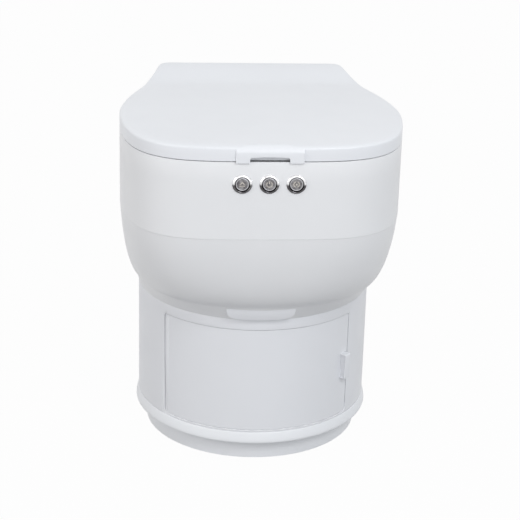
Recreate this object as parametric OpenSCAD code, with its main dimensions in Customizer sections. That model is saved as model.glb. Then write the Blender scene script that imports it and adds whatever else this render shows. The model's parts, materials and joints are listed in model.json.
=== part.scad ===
// Waterless toilet: film-sealing seat unit on a round base with a waste bin behind a curved door.
// Millimetres, +Z up, front faces -Y, origin at the centre of the round foot on the floor.

/* [Base] */
// Outer radius of the round base wall
base_r = 165; // [163:0.5:166]
// Height of the base's top edge above the floor
base_h = 215; // [213:0.5:218]
// Thickness of the moulded walls
wall = 3; // [2.6:0.1:3.4]
// How far the ring at the foot of the base stands out of the wall
bead_out = 3.7; // [2:0.1:5]

/* [Door] */
// Height of the door's lower edge
door_z0 = 50; // [49.6:0.1:51]
// Height of the wall band above the door
over_door = 16.5; // [16.5:0.5:20]
// Height of the door pull's centre
pull_z = 122.5; // [95:0.5:150]
// How far the door pull stands out of the door
pull_out = 8.5; // [6:0.5:12]

/* [Housing] */
// Half of the housing's width
half_w = 192.6; // [190:0.2:195]
// Height of the crease between bowl and upright wall
crease_z = 352; // [348:0.5:356]

/* [Lid and seat] */
// Height of the lid's top curve at its rear edge above the flat top
tail_rise = 14.5; // [13:0.5:16]
// Half of the seat opening's width
seat_open_x = 104; // [96:1:108]
// Half of the seat opening's depth
seat_open_y = 122; // [112:1:126]
// Half width of the lid's front grip
grip_half = 43.5; // [36:0.5:50]

/* [Buttons] */
// Distance between neighbouring buttons
button_pitch = 34.6; // [30:0.2:38]
// Height of the buttons' centres
button_z = 428; // [415:0.5:436]
// Radius of a button's bezel
bezel_r = 12.75; // [12.4:0.05:13.5]

/* [Sealing unit] */
// Half length of the heated strip
strip_half = 100; // [85:1:104]
// Radius of the feed rollers
roller_r = 7.5; // [6:0.1:7.8]

/* [Hidden] */
$fa = 4;
$fs = 1.2;

// Base levels
foot_r = base_r - 12;
plate_z0 = 4;
plate_z1 = 7;
shelf_z0 = 46;
shelf_z1 = 49;
base_in = base_r - wall;
// Door
door_z1 = base_h - over_door;
door_x = base_r * sin(50.1);
door_t = 3;
hinge_r = base_r - 5;
hinge_a = -49.8;
hinge_x = hinge_r * sin(hinge_a);
hinge_y = -hinge_r * cos(hinge_a);
knuckle_r = 4.9;
open_x0 = hinge_x - knuckle_r - 1.2;
open_y0 = -sqrt(base_r * base_r - open_x0 * open_x0);
pull_a = 47.3;
pin_r = 1.5;
run = 0.05;
// Waste bin
bin_r = base_r - 16;
bin_x = base_r - 50;
bin_front = 41 - base_r;
bin_back = base_r - 47;
bin_z1 = door_z1 - 11.5;
// Housing outline
front_b = 276.3;
front_yc = 52.3;
front_n = 4.03;
front_y = front_yc - front_b;
top_z = 457;
deck_z0 = 449;
deck_z1 = 453;
// Lid
lid_z0 = 459.5;
lid_z1 = 478;
lid_wall = 4;
bend_y = 62;
rear_y = 160;
// Hinge axis of seat and lid
axis_y = 148;
axis_z = 468;
// Sealing unit
seal_y = -20;
frame_x = base_r - 34;
jaw_open = 58;
jaw_z0 = 246;
jaw_z1 = 286;
rod_x = frame_x - 21;
rod_z = 276;
screw_z = 256;
frame_z0 = 240;
frame_z1 = 314;
roller_z = 228;

// Plan outline of the housing and lid, front centre to rear centre on the +X side
front_x = [0, 12, 24, 36, 48, 62];
function se_y(x) = front_yc - front_b * pow(1 - pow(x / half_w, front_n), 1 / front_n);
function se_t(t) = [half_w * pow(sin(t), 2 / front_n), front_yc - front_b * pow(cos(t), 2 / front_n)];
k_w = half_w / 192.6;
rear_pts = [[189.8, -86], [191.1, -66], [191, -45], [188.6, -25], [184.7, -4], [179.6, 17], [172.6, 39],
  [164.3, 61], [156.6, 83], [150.8, 102], [147.2, 114], [144.5, 123], [142.1, 131], [139.4, 140], [136.7, 149],
  [133.8, 155], [128.3, 159], [120, 160.3], [100, 160.4], [75, 160.4], [50, 160.4], [25, 160.4], [0, 160.4]];
half_pts = concat(
  [for (x = front_x) [x, se_y(x)]],
  [for (t = [8, 11, 14.5, 18.5, 23, 27.5, 32, 36.5, 41, 45.5, 50, 54.5, 59, 63.5, 68, 72]) se_t(t)],
  [for (p = rear_pts) [p[0] * k_w, p[1]]]);
hn = len(half_pts) - 1;
top_ring = concat(half_pts, [for (i = [hn - 1 : -1 : 1]) [-half_pts[i][0], half_pts[i][1]]]);
rn = len(top_ring);
base_ring = [for (p = top_ring) let(a = atan2(p[0], -p[1])) [base_r * sin(a), -base_r * cos(a)]];
function lev(w) = [for (i = [0 : rn - 1]) base_ring[i] + w * (top_ring[i] - base_ring[i])];
function ins(p, d) = [for (i = [0 : len(p) - 1])
  let(n = len(p), t = p[(i + 1) % n] - p[(i + n - 1) % n]) p[i] - d * [t[1], -t[0]] / norm(t)];
function put(p, z) = [for (q = p) [q[0], q[1], z]];
function flat(l) = [for (a = l) for (b = a) b];
// Faces between stacked rings of n points
function skin(k, n, loop) = [for (j = [0 : loop ? k - 1 : k - 2]) for (i = [0 : n - 1])
  let(a = j * n + i, b = ((j + 1) % k) * n + i, c = ((j + 1) % k) * n + (i + 1) % n, d = j * n + (i + 1) % n)
  each [[a, b, c], [a, c, d]]];
// Cap over one ring of points: triangles from both sides to a line of points along the middle
function first_over(p, y) = [for (i = [0 : hn]) if (p[i][1] >= y) i][0];
function spine(p) = let(a = first_over(p, -150), b = first_over(p, 130)) [for (i = [a : b]) i];
function spine_pts(p, z0) = [for (i = spine(p)) [0, p[i][1], z0 + rise(p[i][1])]];
function cap_up(o, so, p, n) = let(a = first_over(p, -150), b = first_over(p, 130))
  [for (i = [0 : n / 2 - 1]) let(s = so + max(a, min(b, i)) - a, t = so + max(a, min(b, i + 1)) - a,
    ri = o + i, rj = o + i + 1, li = o + (n - i) % n, lj = o + n - i - 1)
    each (s == t ? [[ri, s, rj], [li, lj, s]] : [[ri, s, t], [ri, t, rj], [li, t, s], [li, lj, t]])];
function flip(f) = [for (q = f) [q[0], q[2], q[1]]];

neck = [[215, 0], [222, 0.075], [230, 0.16], [239, 0.26]];
bowl = [[239, 0.235], [240.2, 0.235], [240.8, 0.30], [244, 0.38], [249, 0.46], [256, 0.545], [265, 0.635],
  [277, 0.725], [291, 0.805], [307, 0.875], [325, 0.935], [341, 0.97], [352, 0.986], [352.8, 1]];
bowl_in = [[353, 1], [325, 0.935], [291, 0.805], [265, 0.635], [249, 0.46], [239, 0.26]];
// Heights between base top and crease follow those two values
function hz(z) = z <= 239 ? z + base_h - 215 : z + (base_h - 215) * (352 - z) / 113 + (crease_z - 352) * (z - 239) / 113;
function neck_w(z) = lookup(z, neck);

function rise(y) = y <= bend_y ? 0 : tail_rise * pow((y - bend_y) / (rear_y - bend_y), 2.33);
function lid_low(y) = y <= 140 ? lid_z0 : min(lid_z0 + (y - 140) * (484 - lid_z0) / 15, 484 + tail_rise - 12);
function lid_ring(d, z) = [for (q = ins(top_ring, d)) [q[0], q[1], z + rise(q[1])]];
function lid_in(d, z, up) = let(q = ins(top_ring, d)) [for (i = [0 : rn - 1]) [q[i][0], q[i][1], max(z + rise(q[i][1]), lid_low(top_ring[i][1]) + up)]];
function low_ring(d) = let(o = top_ring) [for (i = [0 : rn - 1]) let(q = ins(top_ring, d)[i]) [q[0], q[1], lid_low(o[i][1])]];

function oval(a, b, cy, z) = [for (i = [0 : 59]) [a * sin(i * 6), cy - b * cos(i * 6), z]];

// Ring sector, angles measured from the front towards +X
module sector(r0, r1, z0, z1, a0, a1) {
  rotate([0, 0, a0 - 90]) rotate_extrude(angle = a1 - a0, $fa = 2) translate([r0, z0]) square([r1 - r0, z1 - z0]);
}
module round_rect(x0, x1, y0, y1, c) {
  translate([x0 + c, y0]) square([x1 - x0 - 2 * c, y1 - y0]);
  translate([x0, y0 + c]) square([x1 - x0, y1 - y0 - 2 * c]);
  for (x = [x0 + c, x1 - c], y = [y0 + c, y1 - c]) translate([x, y]) circle(c, $fn = 32);
}
module at_x(x0, x1, y, z, r) {
  translate([x0, y, z]) rotate([0, 90, 0]) cylinder(r = r, h = x1 - x0);
}
module at_y(x, y0, y1, z, r) {
  translate([x, y1, z]) rotate([90, 0, 0]) cylinder(r = r, h = y1 - y0);
}
module box(x0, x1, y0, y1, z0, z1) {
  translate([x0, y0, z0]) cube([x1 - x0, y1 - y0, z1 - z0]);
}
module both() {
  children();
  mirror([1, 0, 0]) children();
}

bead_r = (7.5 * 7.5 + bead_out * bead_out) / (2 * bead_out);
bead_a = asin(7.5 / bead_r);
module base_shell() {
  color([0.86, 0.86, 0.87]) difference() {
    union() {
      rotate_extrude($fa = 3) polygon(concat([[foot_r - 15, plate_z1], [foot_r, plate_z1], [foot_r, 27], [foot_r + 2, 29.2], [base_r - 2, 29.2]],
        [for (i = [-5 : 5]) [base_r + bead_out - bead_r + bead_r * cos(i * bead_a / 5), 37.5 + bead_r * sin(i * bead_a / 5)]],
        [[base_r, base_h], [base_in, base_h], [base_in, shelf_z0], [base_r - 10, shelf_z0], [base_r - 7, 42], [base_r - 7, 35], [foot_r - 3, 31],
        [foot_r - 3, 10], [foot_r - 15, 10]]));
      sector(base_r - 15, base_in + 1, door_z1 + 1.5, door_z1 + 6, hinge_a - 3.3, hinge_a + 3.7);
    }
    translate([0, -90, 0]) rotate([90, 0, 0]) linear_extrude(100) round_rect(open_x0, door_x + 1.6, shelf_z1, door_z1 + 1.5, 2);
    translate([0, 0, shelf_z1 + 3]) linear_extrude(door_z1 - 4.5 - shelf_z1)
      polygon([[open_x0 + 1, open_y0 - 3], [open_x0 + 1, open_y0 + 2.7], [open_x0 - 5, open_y0 + 1.9], [open_x0 - 5, open_y0 - 3]]);
    translate([hinge_x, hinge_y, door_z1 - 8]) cylinder(r = pin_r, h = 13.5);
    box(-15, 15, base_r - 35, base_r + 15, 64, 86);
    for (a = [15 : 60 : 315]) rotate([0, 0, a]) translate([0, foot_r - 9, 5]) cylinder(r = 2, h = 10);
    for (i = [-4 : 4]) rotate([0, 0, 180 + i * 3.2]) box(-2, 2, -base_r - 15, -base_r + 15, 108, 150);
  }
}
module base_plate() {
  color([0.3, 0.31, 0.33]) difference() {
    union() {
      translate([0, 0, plate_z0]) cylinder(r = foot_r, h = plate_z1 - plate_z0, $fa = 2);
      for (x = [-1, 1], y = [-1, 1]) translate([x * (foot_r - 58), y * (foot_r - 68), 0]) cylinder(r = 11, h = plate_z1 - 1);
    }
    for (x = [-1, 1], y = [-1, 1]) translate([x * (foot_r - 58), y * (foot_r - 68), -1]) cylinder(r = 4.5, h = 20);
    for (a = [15 : 60 : 315]) rotate([0, 0, a]) translate([0, foot_r - 9, 3]) {
      cylinder(r = 2, h = 10);
      translate([0, 0, 0.99]) cylinder(r1 = 4, r2 = 2, h = 2);
    }
  }
}
module foot_pads() {
  color([0.12, 0.12, 0.13]) for (a = [0 : 90 : 270]) rotate([0, 0, a]) translate([0, foot_r - 25, 0])
    cylinder(r = 17, h = plate_z0);
}
module plate_screws() {
  color([0.7, 0.7, 0.72]) for (a = [15 : 60 : 315]) rotate([0, 0, a]) translate([0, foot_r - 9, 3.99]) {
    cylinder(r1 = 4, r2 = 2, h = 2);
    translate([0, 0, 1.5]) cylinder(r = 2, h = 9);
  }
}
module bay_shelf() {
  color([0.72, 0.73, 0.75]) difference() {
    union() {
      translate([0, 0, shelf_z0]) cylinder(r = base_in - 0.2, h = shelf_z1 - shelf_z0, $fa = 2);
      both() box(bin_x + 2.5, bin_x + 5.5, -95, 95, shelf_z1 - 0.5, shelf_z1 + 7);
      box(-60, 60, bin_back + 1.7, bin_back + 4.7, shelf_z1 - 0.5, shelf_z1 + 9);
    }
    translate([hinge_x, hinge_y, 40]) cylinder(r = pin_r, h = 20);
    translate([0, base_r - 25, 40]) cylinder(r = 9, h = 20);
  }
}
module door_pins() {
  color([0.75, 0.75, 0.77]) {
    translate([hinge_x, hinge_y, shelf_z0 + 0.5]) cylinder(r = pin_r, h = 12);
    translate([hinge_x, hinge_y, door_z1 - 8]) cylinder(r = pin_r, h = 13.5);
  }
}
module door_washer() {
  color([0.9, 0.9, 0.88]) translate([hinge_x, hinge_y, shelf_z1]) difference() {
    cylinder(r = 2.8, h = door_z0 - shelf_z1);
    translate([0, 0, -1]) cylinder(r = pin_r, h = 4);
  }
}
module magnet_catch() {
  color([0.2, 0.2, 0.22]) rotate([0, 0, 45]) {
    box(-8, 8, -base_r + 7.4, -base_r + 15, door_z1 - 10.5, door_z1 - 1.5);
    box(-8, 8, -base_in + 0.21, -base_r + 15, door_z1 + 1.7, door_z1 + 5.5);
    box(-8, 8, -base_r + 7.4, -base_r + 10.4, door_z1 - 2.5, door_z1 + 3.5);
  }
}
module battery_pack() {
  color([0.18, 0.2, 0.24]) difference() {
    union() {
      box(-76, 76, -70, -4, plate_z1, 36);
      box(-60, 60, -71.5, -2.5, plate_z1, 11);
    }
    box(-50, 50, -60, -14, 35, 40);
  }
  color([0.85, 0.3, 0.2]) box(62, 70, -24, -16, 36, 40);
  color([0.1, 0.1, 0.1]) box(62, 70, -58, -50, 36, 40);
}
module control_board() {
  color([0.1, 0.35, 0.2]) difference() {
    box(-50, 50, 20, 92, 14, 15.6);
    for (x = [-45, 45], y = [25, 87]) translate([x, y, 10]) cylinder(r = 1.6, h = 10);
  }
  color([0.8, 0.8, 0.75]) for (x = [-45, 45], y = [25, 87]) translate([x, y, plate_z1]) difference() {
    cylinder(r = 3.5, h = 7);
    translate([0, 0, 2]) cylinder(r = 1.2, h = 10);
  }
  color([0.12, 0.12, 0.13]) {
    box(-14, 14, 45, 73, 15.6, 18.4);
    box(-44, -30, 34, 50, 15.6, 27);
    box(24, 44, 30, 38, 15.6, 26);
    box(24, 44, 74, 82, 15.6, 26);
    translate([-36, 66, 15.6]) cylinder(r = 6, h = 16);
    translate([-36, 80, 15.6]) cylinder(r = 5, h = 14);
  }
}
module power_inlet() {
  color([0.1, 0.1, 0.11]) difference() {
    union() {
      box(-15, 15, base_r - 31, base_r + 1, 64, 86);
      box(-19, 19, base_r + 0.2, base_r + 3, 60, 90);
    }
    box(-11, 11, base_r - 17, base_r + 15, 68, 82);
  }
  color([0.85, 0.75, 0.45]) for (x = [-5.5, 0, 5.5]) box(x - 1, x + 1, base_r - 18, base_r - 4, 73, 77);
}
module coupling_ring() {
  color([0.55, 0.57, 0.6]) translate([0, 0, base_h - 215]) difference() {
    rotate_extrude($fa = 2) polygon([[base_in - 22, 212], [base_in - 4, 212], [base_in - 4, 205.5], [base_in, 205.5], [base_in, 215],
      [base_in - 1.5, 215], [base_in - 1.5, 219], [base_in - 4, 219], [base_in - 4, 215], [base_in - 22, 215]]);
    for (a = [20 : 40 : 340]) rotate([0, 0, a]) translate([0, base_in - 13, 205]) cylinder(r = 2.2, h = 20);
  }
}
module neck_collar() {
  color([0.84, 0.84, 0.85]) polyhedron(flat(concat(
    [for (i = [len(neck) - 1 : -1 : 0]) put(ins(lev(neck[i][1]), wall), hz(neck[i][0]))],
    [for (k = neck) put(lev(k[1]), hz(k[0]))])), skin(2 * len(neck), rn, true), convexity = 6);
}
module bowl_housing() {
  color([0.88, 0.88, 0.89]) difference() {
    polyhedron(flat(concat(
      [put(ins(top_ring, wall), top_z)],
      [for (k = bowl_in) put(ins(lev(k[1]), wall), hz(k[0]))],
      [for (k = bowl) put(lev(k[1]), hz(k[0]))],
      [put(top_ring, top_z - 0.8), put(ins(top_ring, 0.8), top_z)])),
      skin(len(bowl_in) + len(bowl) + 3, rn, true), convexity = 8);
    for (i = [-1 : 1]) at_y(i * button_pitch, front_y - 5, front_y + 8, button_z, 11.1);
  }
}
// Rows of the front tab
tab_y = -178.5;
tab_low = [217, 217, 217.2, 217.9, 219.4, 223];
tab_rows = [0, 0.36, 0.72, 1];
tab_top = 235.5;
function tab_z(k, r) = tab_low[abs(k)] + tab_rows[r] * (tab_top - tab_low[abs(k)]);
function tab_back(k, r) = let(z = tab_z(k, r), p = lev(neck_w(z))[abs(k)]) [sign(k) * p[0], p[1] - 0.08, hz(z)];
function tab_face(k, r) = let(b = tab_back(k, 1), z = tab_z(k, r)) [b[0], tab_y - (base_r - 165) + 0.0016 * b[0] * b[0] + (r == 0 ? 0.8 : 0), hz(z)];
module front_tab() {
  n = 4;
  pts = flat([for (k = [-5 : 5]) concat([for (r = [0 : 3]) tab_face(k, r)], [for (r = [0 : 3]) tab_back(k, r)])]);
  function q(c, s, r) = c * 8 + s * 4 + r;
  faces = concat(
    [for (c = [0 : 9]) for (r = [0 : 2]) each [[q(c, 0, r), q(c, 0, r + 1), q(c + 1, 0, r + 1)], [q(c, 0, r), q(c + 1, 0, r + 1), q(c + 1, 0, r)]]],
    [for (c = [0 : 9]) for (r = [0 : 2]) each [[q(c, 1, r), q(c + 1, 1, r + 1), q(c, 1, r + 1)], [q(c, 1, r), q(c + 1, 1, r), q(c + 1, 1, r + 1)]]],
    [for (c = [0 : 9]) each [[q(c, 0, 3), q(c, 1, 3), q(c + 1, 1, 3)], [q(c, 0, 3), q(c + 1, 1, 3), q(c + 1, 0, 3)]]],
    [for (c = [0 : 9]) each [[q(c, 0, 0), q(c + 1, 0, 0), q(c + 1, 1, 0)], [q(c, 0, 0), q(c + 1, 1, 0), q(c, 1, 0)]]],
    [for (r = [0 : 2]) each [[q(0, 0, r), q(0, 1, r), q(0, 1, r + 1)], [q(0, 0, r), q(0, 1, r + 1), q(0, 0, r + 1)]]],
    [for (r = [0 : 2]) each [[q(10, 0, r), q(10, 1, r + 1), q(10, 1, r)], [q(10, 0, r), q(10, 0, r + 1), q(10, 1, r + 1)]]]);
  color([0.87, 0.87, 0.88]) polyhedron(pts, faces, convexity = 4);
}
module top_deck() {
  color([0.9, 0.9, 0.91]) translate([0, 0, deck_z0]) linear_extrude(deck_z1 - deck_z0) difference() {
    polygon(ins(top_ring, wall));
    polygon([for (p = oval(121.5, 139.5, -40, 0)) [p[0], p[1]]]);
    for (x = [-71, 71]) translate([x, 134]) circle(1.85);
  }
}
bowl_prof = [[455, 118, 136, -40], [451, 116, 134, -40], [430, 108, 124, -39], [400, 96, 108, -36], [375, 84, 92, -32],
  [350, 72, 76, -27], [330, 62, 62, -23], [310, 56, 56, -20]];
module funnel() {
  m = len(bowl_prof);
  color([0.93, 0.93, 0.94]) polyhedron(flat(concat(
    [for (k = bowl_prof) oval(k[1], k[2], k[3], k[0])],
    [for (i = [m - 1 : -1 : 2]) let(k = bowl_prof[i]) oval(k[1] + 2.5, k[2] + 2.5, k[3], k[0])],
    [oval(120.5, 138.5, -40, deck_z1), oval(127, 145, -40, deck_z1), oval(127, 145, -40, 454.4), oval(126.4, 144.4, -40, 455)])),
    skin(2 * m + 2, 60, true), convexity = 6);
}
module film_cassette() {
  color([0.6, 0.62, 0.66]) translate([0, -28, 0]) difference() {
    translate([0, 0, 318]) cylinder(r = 132, h = 44, $fa = 2);
    translate([0, 0, 310]) cylinder(r = 93, h = 60, $fa = 2);
    translate([0, 0, 320.5]) difference() {
      cylinder(r = 129.5, h = 60, $fa = 2);
      cylinder(r = 95.5, h = 60, $fa = 2);
    }
  }
}
module film_pack() {
  color([0.95, 0.95, 0.98]) translate([0, -28, 320.5]) difference() {
    cylinder(r = 128, h = 37, $fa = 2);
    translate([0, 0, -1]) cylinder(r = 97, h = 60, $fa = 2);
    for (z = [5 : 4 : 33]) translate([0, 0, z]) difference() {
      cylinder(r = 140, h = 1, $fa = 2);
      cylinder(r = 126, h = 1, $fa = 2);
    }
  }
}
post_at = [[base_r - 75, seal_y - jaw_open - 37], [base_r - 83, base_r - 44]];
module chassis_plate() {
  color([0.62, 0.64, 0.67]) translate([0, 0, frame_z1]) linear_extrude(4) difference() {
    union() {
      circle(base_r - 13, $fa = 2);
      translate([0, -26]) circle(base_r - 25, $fa = 2);
    }
    translate([0, seal_y]) circle(64, $fa = 2);
    for (p = post_at) for (s = [-1, 1]) translate([s * p[0], p[1]]) circle(2.5);
  }
}
module chassis_posts() {
  color([0.75, 0.75, 0.77]) for (p = post_at) for (s = [-1, 1]) translate([s * p[0], p[1], base_h]) {
    cylinder(r = 6, h = frame_z1 - base_h);
    translate([0, 0, frame_z1 - base_h - 1]) cylinder(r = 2.5, h = 5);
  }
}
module seal_frame() {
  color([0.5, 0.52, 0.55]) difference() {
    union() {
      both() box(frame_x - 5, frame_x, -107, 67, frame_z0, frame_z1);
      box(-frame_x, frame_x, -107, -102, frame_z0, frame_z1);
      box(-frame_x, frame_x, 62, 67, frame_z0, frame_z1);
    }
    both() {
      at_y(rod_x, -120, 80, rod_z, 4);
      at_y(rod_x, -120, 80, screw_z, 5 + run);
      box(frame_x - 11, frame_x + 9, -80, 40, 252, 302);
    }
    box(20 - rod_x, rod_x - 20, -120, -90, 246, 300);
    box(20 - rod_x, rod_x - 20, 50, 90, 246, 300);
  }
}
module guide_rods() {
  color([0.8, 0.8, 0.82]) both() at_y(rod_x, -107, 67, rod_z, 4);
}
module motor_bracket() {
  color([0.55, 0.57, 0.6]) difference() {
    union() {
      box(-28, 28, 80, 83, 234, frame_z1);
      box(-28, 28, 80, 96, frame_z1 - 3, frame_z1);
    }
    at_y(0, 70, 90, screw_z, 7.1);
  }
}
module drive_motor() {
  color([0.25, 0.26, 0.28]) difference() {
    union() {
      at_y(0, 83, 134, screw_z, 18);
      at_y(0, 80, 84, screw_z, 7);
    }
    at_y(0, 60, 100, screw_z, 3 + run);
  }
}
module drive_belt() {
  color([0.1, 0.1, 0.1]) translate([0, 77, screw_z]) rotate([90, 0, 0]) linear_extrude(6) difference() {
    union() {
      translate([-rod_x, 0]) circle(13.6);
      translate([rod_x, 0]) circle(13.6);
      translate([-rod_x, -13.6]) square([2 * rod_x, 27.2]);
    }
    translate([-rod_x, 0]) circle(12.03);
    translate([rod_x, 0]) circle(12.03);
    translate([-rod_x, -12.03]) square([2 * rod_x, 24.06]);
  }
}
module roller_blocks() {
  color([0.4, 0.42, 0.45]) both() difference() {
    box(frame_x - 19, frame_x, -40, 0, 216, frame_z0);
    for (y = [seal_y - 8, seal_y + 8]) at_x(frame_x - 31, frame_x + 9, y, roller_z, 3 + run);
  }
}
module roller_motors() {
  color([0.25, 0.26, 0.28]) both() at_x(frame_x, frame_x + 23, seal_y - 8, roller_z, 8);
}
module button_bodies() {
  color([0.8, 0.8, 0.82]) for (i = [-1 : 1]) translate([i * button_pitch, 0, 0]) difference() {
    union() {
      at_y(0, front_y - 1.2, front_y, button_z, bezel_r);
      translate([0, front_y - 1.2, button_z]) rotate([90, 0, 0]) cylinder(r1 = bezel_r, r2 = bezel_r - 1.4, h = 1.3);
      at_y(0, front_y, front_y + 24, button_z, 11);
      box(-5, -3, front_y + 23, front_y + 30, button_z - 3, button_z + 3);
      box(3, 5, front_y + 23, front_y + 30, button_z - 3, button_z + 3);
    }
    at_y(0, front_y - 10, front_y + 16, button_z, 9.2);
  }
}
module button_nuts() {
  color([0.75, 0.75, 0.77]) for (i = [-1 : 1]) translate([i * button_pitch, front_y + wall + 4.95, button_z]) rotate([90, 0, 0])
    linear_extrude(4.5) difference() {
      circle(15.2, $fn = 6);
      circle(11);
    }
}
module cap(i) {
  color([0.55, 0.56, 0.58]) difference() {
    at_y(i * button_pitch, front_y - 1.6, front_y + 12, button_z, 9.13);
    at_y(i * button_pitch, front_y - 3, front_y - 1.2, button_z, 7.6);
  }
}
module button_cap_left() { cap(-1); }
module button_cap_centre() { cap(0); }
module button_cap_right() { cap(1); }
module hinge_posts() {
  color([0.85, 0.85, 0.86]) both() difference() {
    union() {
      box(60, 82, 130, 156, deck_z1, deck_z1 + 4);
      box(64, 78, axis_y - 8, axis_y + 8, deck_z1, axis_z);
      at_x(64, 78, axis_y, axis_z, 8);
    }
    at_x(50, 90, axis_y, axis_z, 4);
    translate([71, 134, 440]) cylinder(r = 1.85, h = 30);
  }
}
module hinge_pins() {
  color([0.8, 0.8, 0.82]) both() at_x(62, 112, axis_y, axis_z, 4);
}
module hinge_cover() {
  color([0.88, 0.88, 0.89]) difference() {
    union() {
      at_x(-56, 56, axis_y, axis_z, 10);
      box(-56, 56, axis_y - 10, axis_y + 8.5, deck_z1, axis_z);
    }
    at_x(-53, 53, axis_y, axis_z, 7.5);
    box(-53, 53, axis_y - 7.5, axis_y + 6, deck_z1 - 1, axis_z);
  }
}
module post_screws() {
  color([0.7, 0.7, 0.72]) for (x = [-71, 71]) {
    translate([x, 134, deck_z0 - 6]) cylinder(r = 1.8, h = 14);
    translate([x, 134, deck_z1 + 4]) cylinder(r1 = 3.6, r2 = 3, h = 2);
  }
}
module base_door() {
  color([0.87, 0.87, 0.88]) difference() {
    union() {
      intersection() {
        sector(base_r - door_t, base_r, door_z0, door_z1, hinge_a, 57);
        translate([0, -90, 0]) rotate([90, 0, 0]) linear_extrude(100) difference() {
          round_rect(hinge_x - 12, door_x, door_z0, door_z1, 4.5);
          for (z = [door_z0 - 1, door_z1 - 2.3]) translate([hinge_x - 13, z]) square([13.7, 3.3]);
        }
      }
      translate([hinge_x, hinge_y, door_z0]) cylinder(r = knuckle_r, h = door_z1 - door_z0);
      sector(base_r - 8, base_r - door_t + 0.5, door_z0 + 2, door_z0 + 5, -40, 40);
      sector(base_r - 8, base_r - door_t + 0.5, door_z1 - 6, door_z1 - 3, -40, 40);
      for (a = [-26, 0, 26]) rotate([0, 0, a]) box(-1.25, 1.25, -base_r + door_t - 0.5, -base_r + 8, door_z0 + 3, door_z1 - 4);
    }
    translate([hinge_x, hinge_y, 40]) cylinder(r = pin_r + run, h = 20);
    translate([hinge_x, hinge_y, door_z1 - 9]) cylinder(r = pin_r + run, h = 20);
    for (z = [-12, 12]) rotate([0, 0, pull_a]) at_y(0, -base_r - 5, -base_r + 8, pull_z + z, 1.75);
  }
}
function arc_pt(a, r) = [r * sin(a), -r * cos(a)];
module door_pull() {
  w = asin(6.3 / base_r);
  q = [[5.3, base_r + pull_out], [6.3, base_r + pull_out - 1], [-6.3, base_r + pull_out - 1], [-5.3, base_r + pull_out]];
  r = [for (k = q) let(c = cos(pull_a), t = sin(pull_a)) [k[0] * c + k[1] * t, k[0] * t - k[1] * c]];
  color([0.88, 0.88, 0.89]) difference() {
    translate([0, 0, pull_z - 21.5]) linear_extrude(43) polygon(concat(
      [for (i = [-4 : 4]) arc_pt(pull_a + i * w / 4, base_r + 0.002)], [r[1], r[0], r[3], r[2]]));
    for (z = [-12, 12]) rotate([0, 0, pull_a]) at_y(0, -base_r - 2, -base_r + 8, pull_z + z, 1.75);
  }
}
module pull_screws() {
  color([0.7, 0.7, 0.72]) for (z = [-12, 12]) rotate([0, 0, pull_a]) {
    at_y(0, -base_r - 2, -base_r + door_t + 1, pull_z + z, 1.7);
    at_y(0, -base_r + door_t + 0.04, -base_r + door_t + 2, pull_z + z, 3);
  }
}
module door_striker() {
  color([0.7, 0.7, 0.72]) rotate([0, 0, 45]) box(-7, 7, -base_r + door_t + 0.16, -base_r + 7, door_z1 - 11.5, door_z1 - 5.5);
}
module waste_bin() {
  color([0.35, 0.37, 0.4]) difference() {
    union() {
      intersection() {
        translate([0, 0, shelf_z1]) cylinder(r = bin_r, h = bin_z1 - shelf_z1, $fa = 2);
        box(-bin_x, bin_x, bin_front, bin_back, 0, 300);
      }
      intersection() {
        translate([0, 0, bin_z1 - 4]) cylinder(r = bin_r + 2, h = 4, $fa = 2);
        box(-bin_x - 2, bin_x + 2, bin_front - 2, bin_back + 1.5, 0, 300);
      }
      both() box(36, 42, bin_front - 9, bin_front + 1, bin_z1 - 29, bin_z1 - 15);
    }
    intersection() {
      translate([0, 0, shelf_z1 + 2.5]) cylinder(r = bin_r - 2.2, h = 200, $fa = 2);
      box(-bin_x + 2.2, bin_x - 2.2, bin_front + 2.2, bin_back - 2.2, 0, 300);
    }
    at_x(-60, 60, bin_front - 5, bin_z1 - 22, 2 + run);
  }
}
module bin_handle() {
  color([0.75, 0.75, 0.77]) {
    both() at_x(33, 44, bin_front - 5, bin_z1 - 22, 2);
    both() box(33, 35.5, bin_front - 7, bin_front - 3, bin_z1 - 48, bin_z1 - 20);
    both() box(33, 35.5, bin_front - 7.5, bin_front - 2.5, bin_z1 - 24, bin_z1 - 20);
  }
  color([0.2, 0.2, 0.22]) at_x(-36, 36, bin_front - 5, bin_z1 - 48, 3.5);
}
module seat() {
  o = ins(top_ring, 9);
  function so(s, z) = [for (i = [0 : rn - 1]) let(a = atan2(o[i][0], -(min(o[i][1], 122) + 40)),
    p = [o[i][0], min(o[i][1], 122)], q = [seat_open_x * sin(a), -40 - seat_open_y * cos(a)]) [p[0] + s * (q[0] - p[0]), p[1] + s * (q[1] - p[1]), z]];
  color([0.92, 0.92, 0.93]) {
    difference() {
      union() {
        polyhedron(flat([so(1, 464), so(0.97, 461), so(0.02, 461), so(0, 463), so(0, 469.5), so(0.03, 472), so(0.62, 472), so(0.9, 470.5), so(1, 468)]),
          skin(9, rn, true), convexity = 6);
        both() {
          box(80, 94, 108, axis_y, 464, 471.5);
          at_x(80, 94, axis_y, axis_z, 8);
        }
      }
      both() at_x(70, 100, axis_y, axis_z, 4 + run);
    }
  }
}
module seat_bumpers() {
  color([0.75, 0.76, 0.78]) both() for (p = [[150, -120], [148, 60]]) translate([p[0] * k_w, p[1], deck_z1]) cylinder(r = 8, h = 461 - deck_z1);
}
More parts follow.
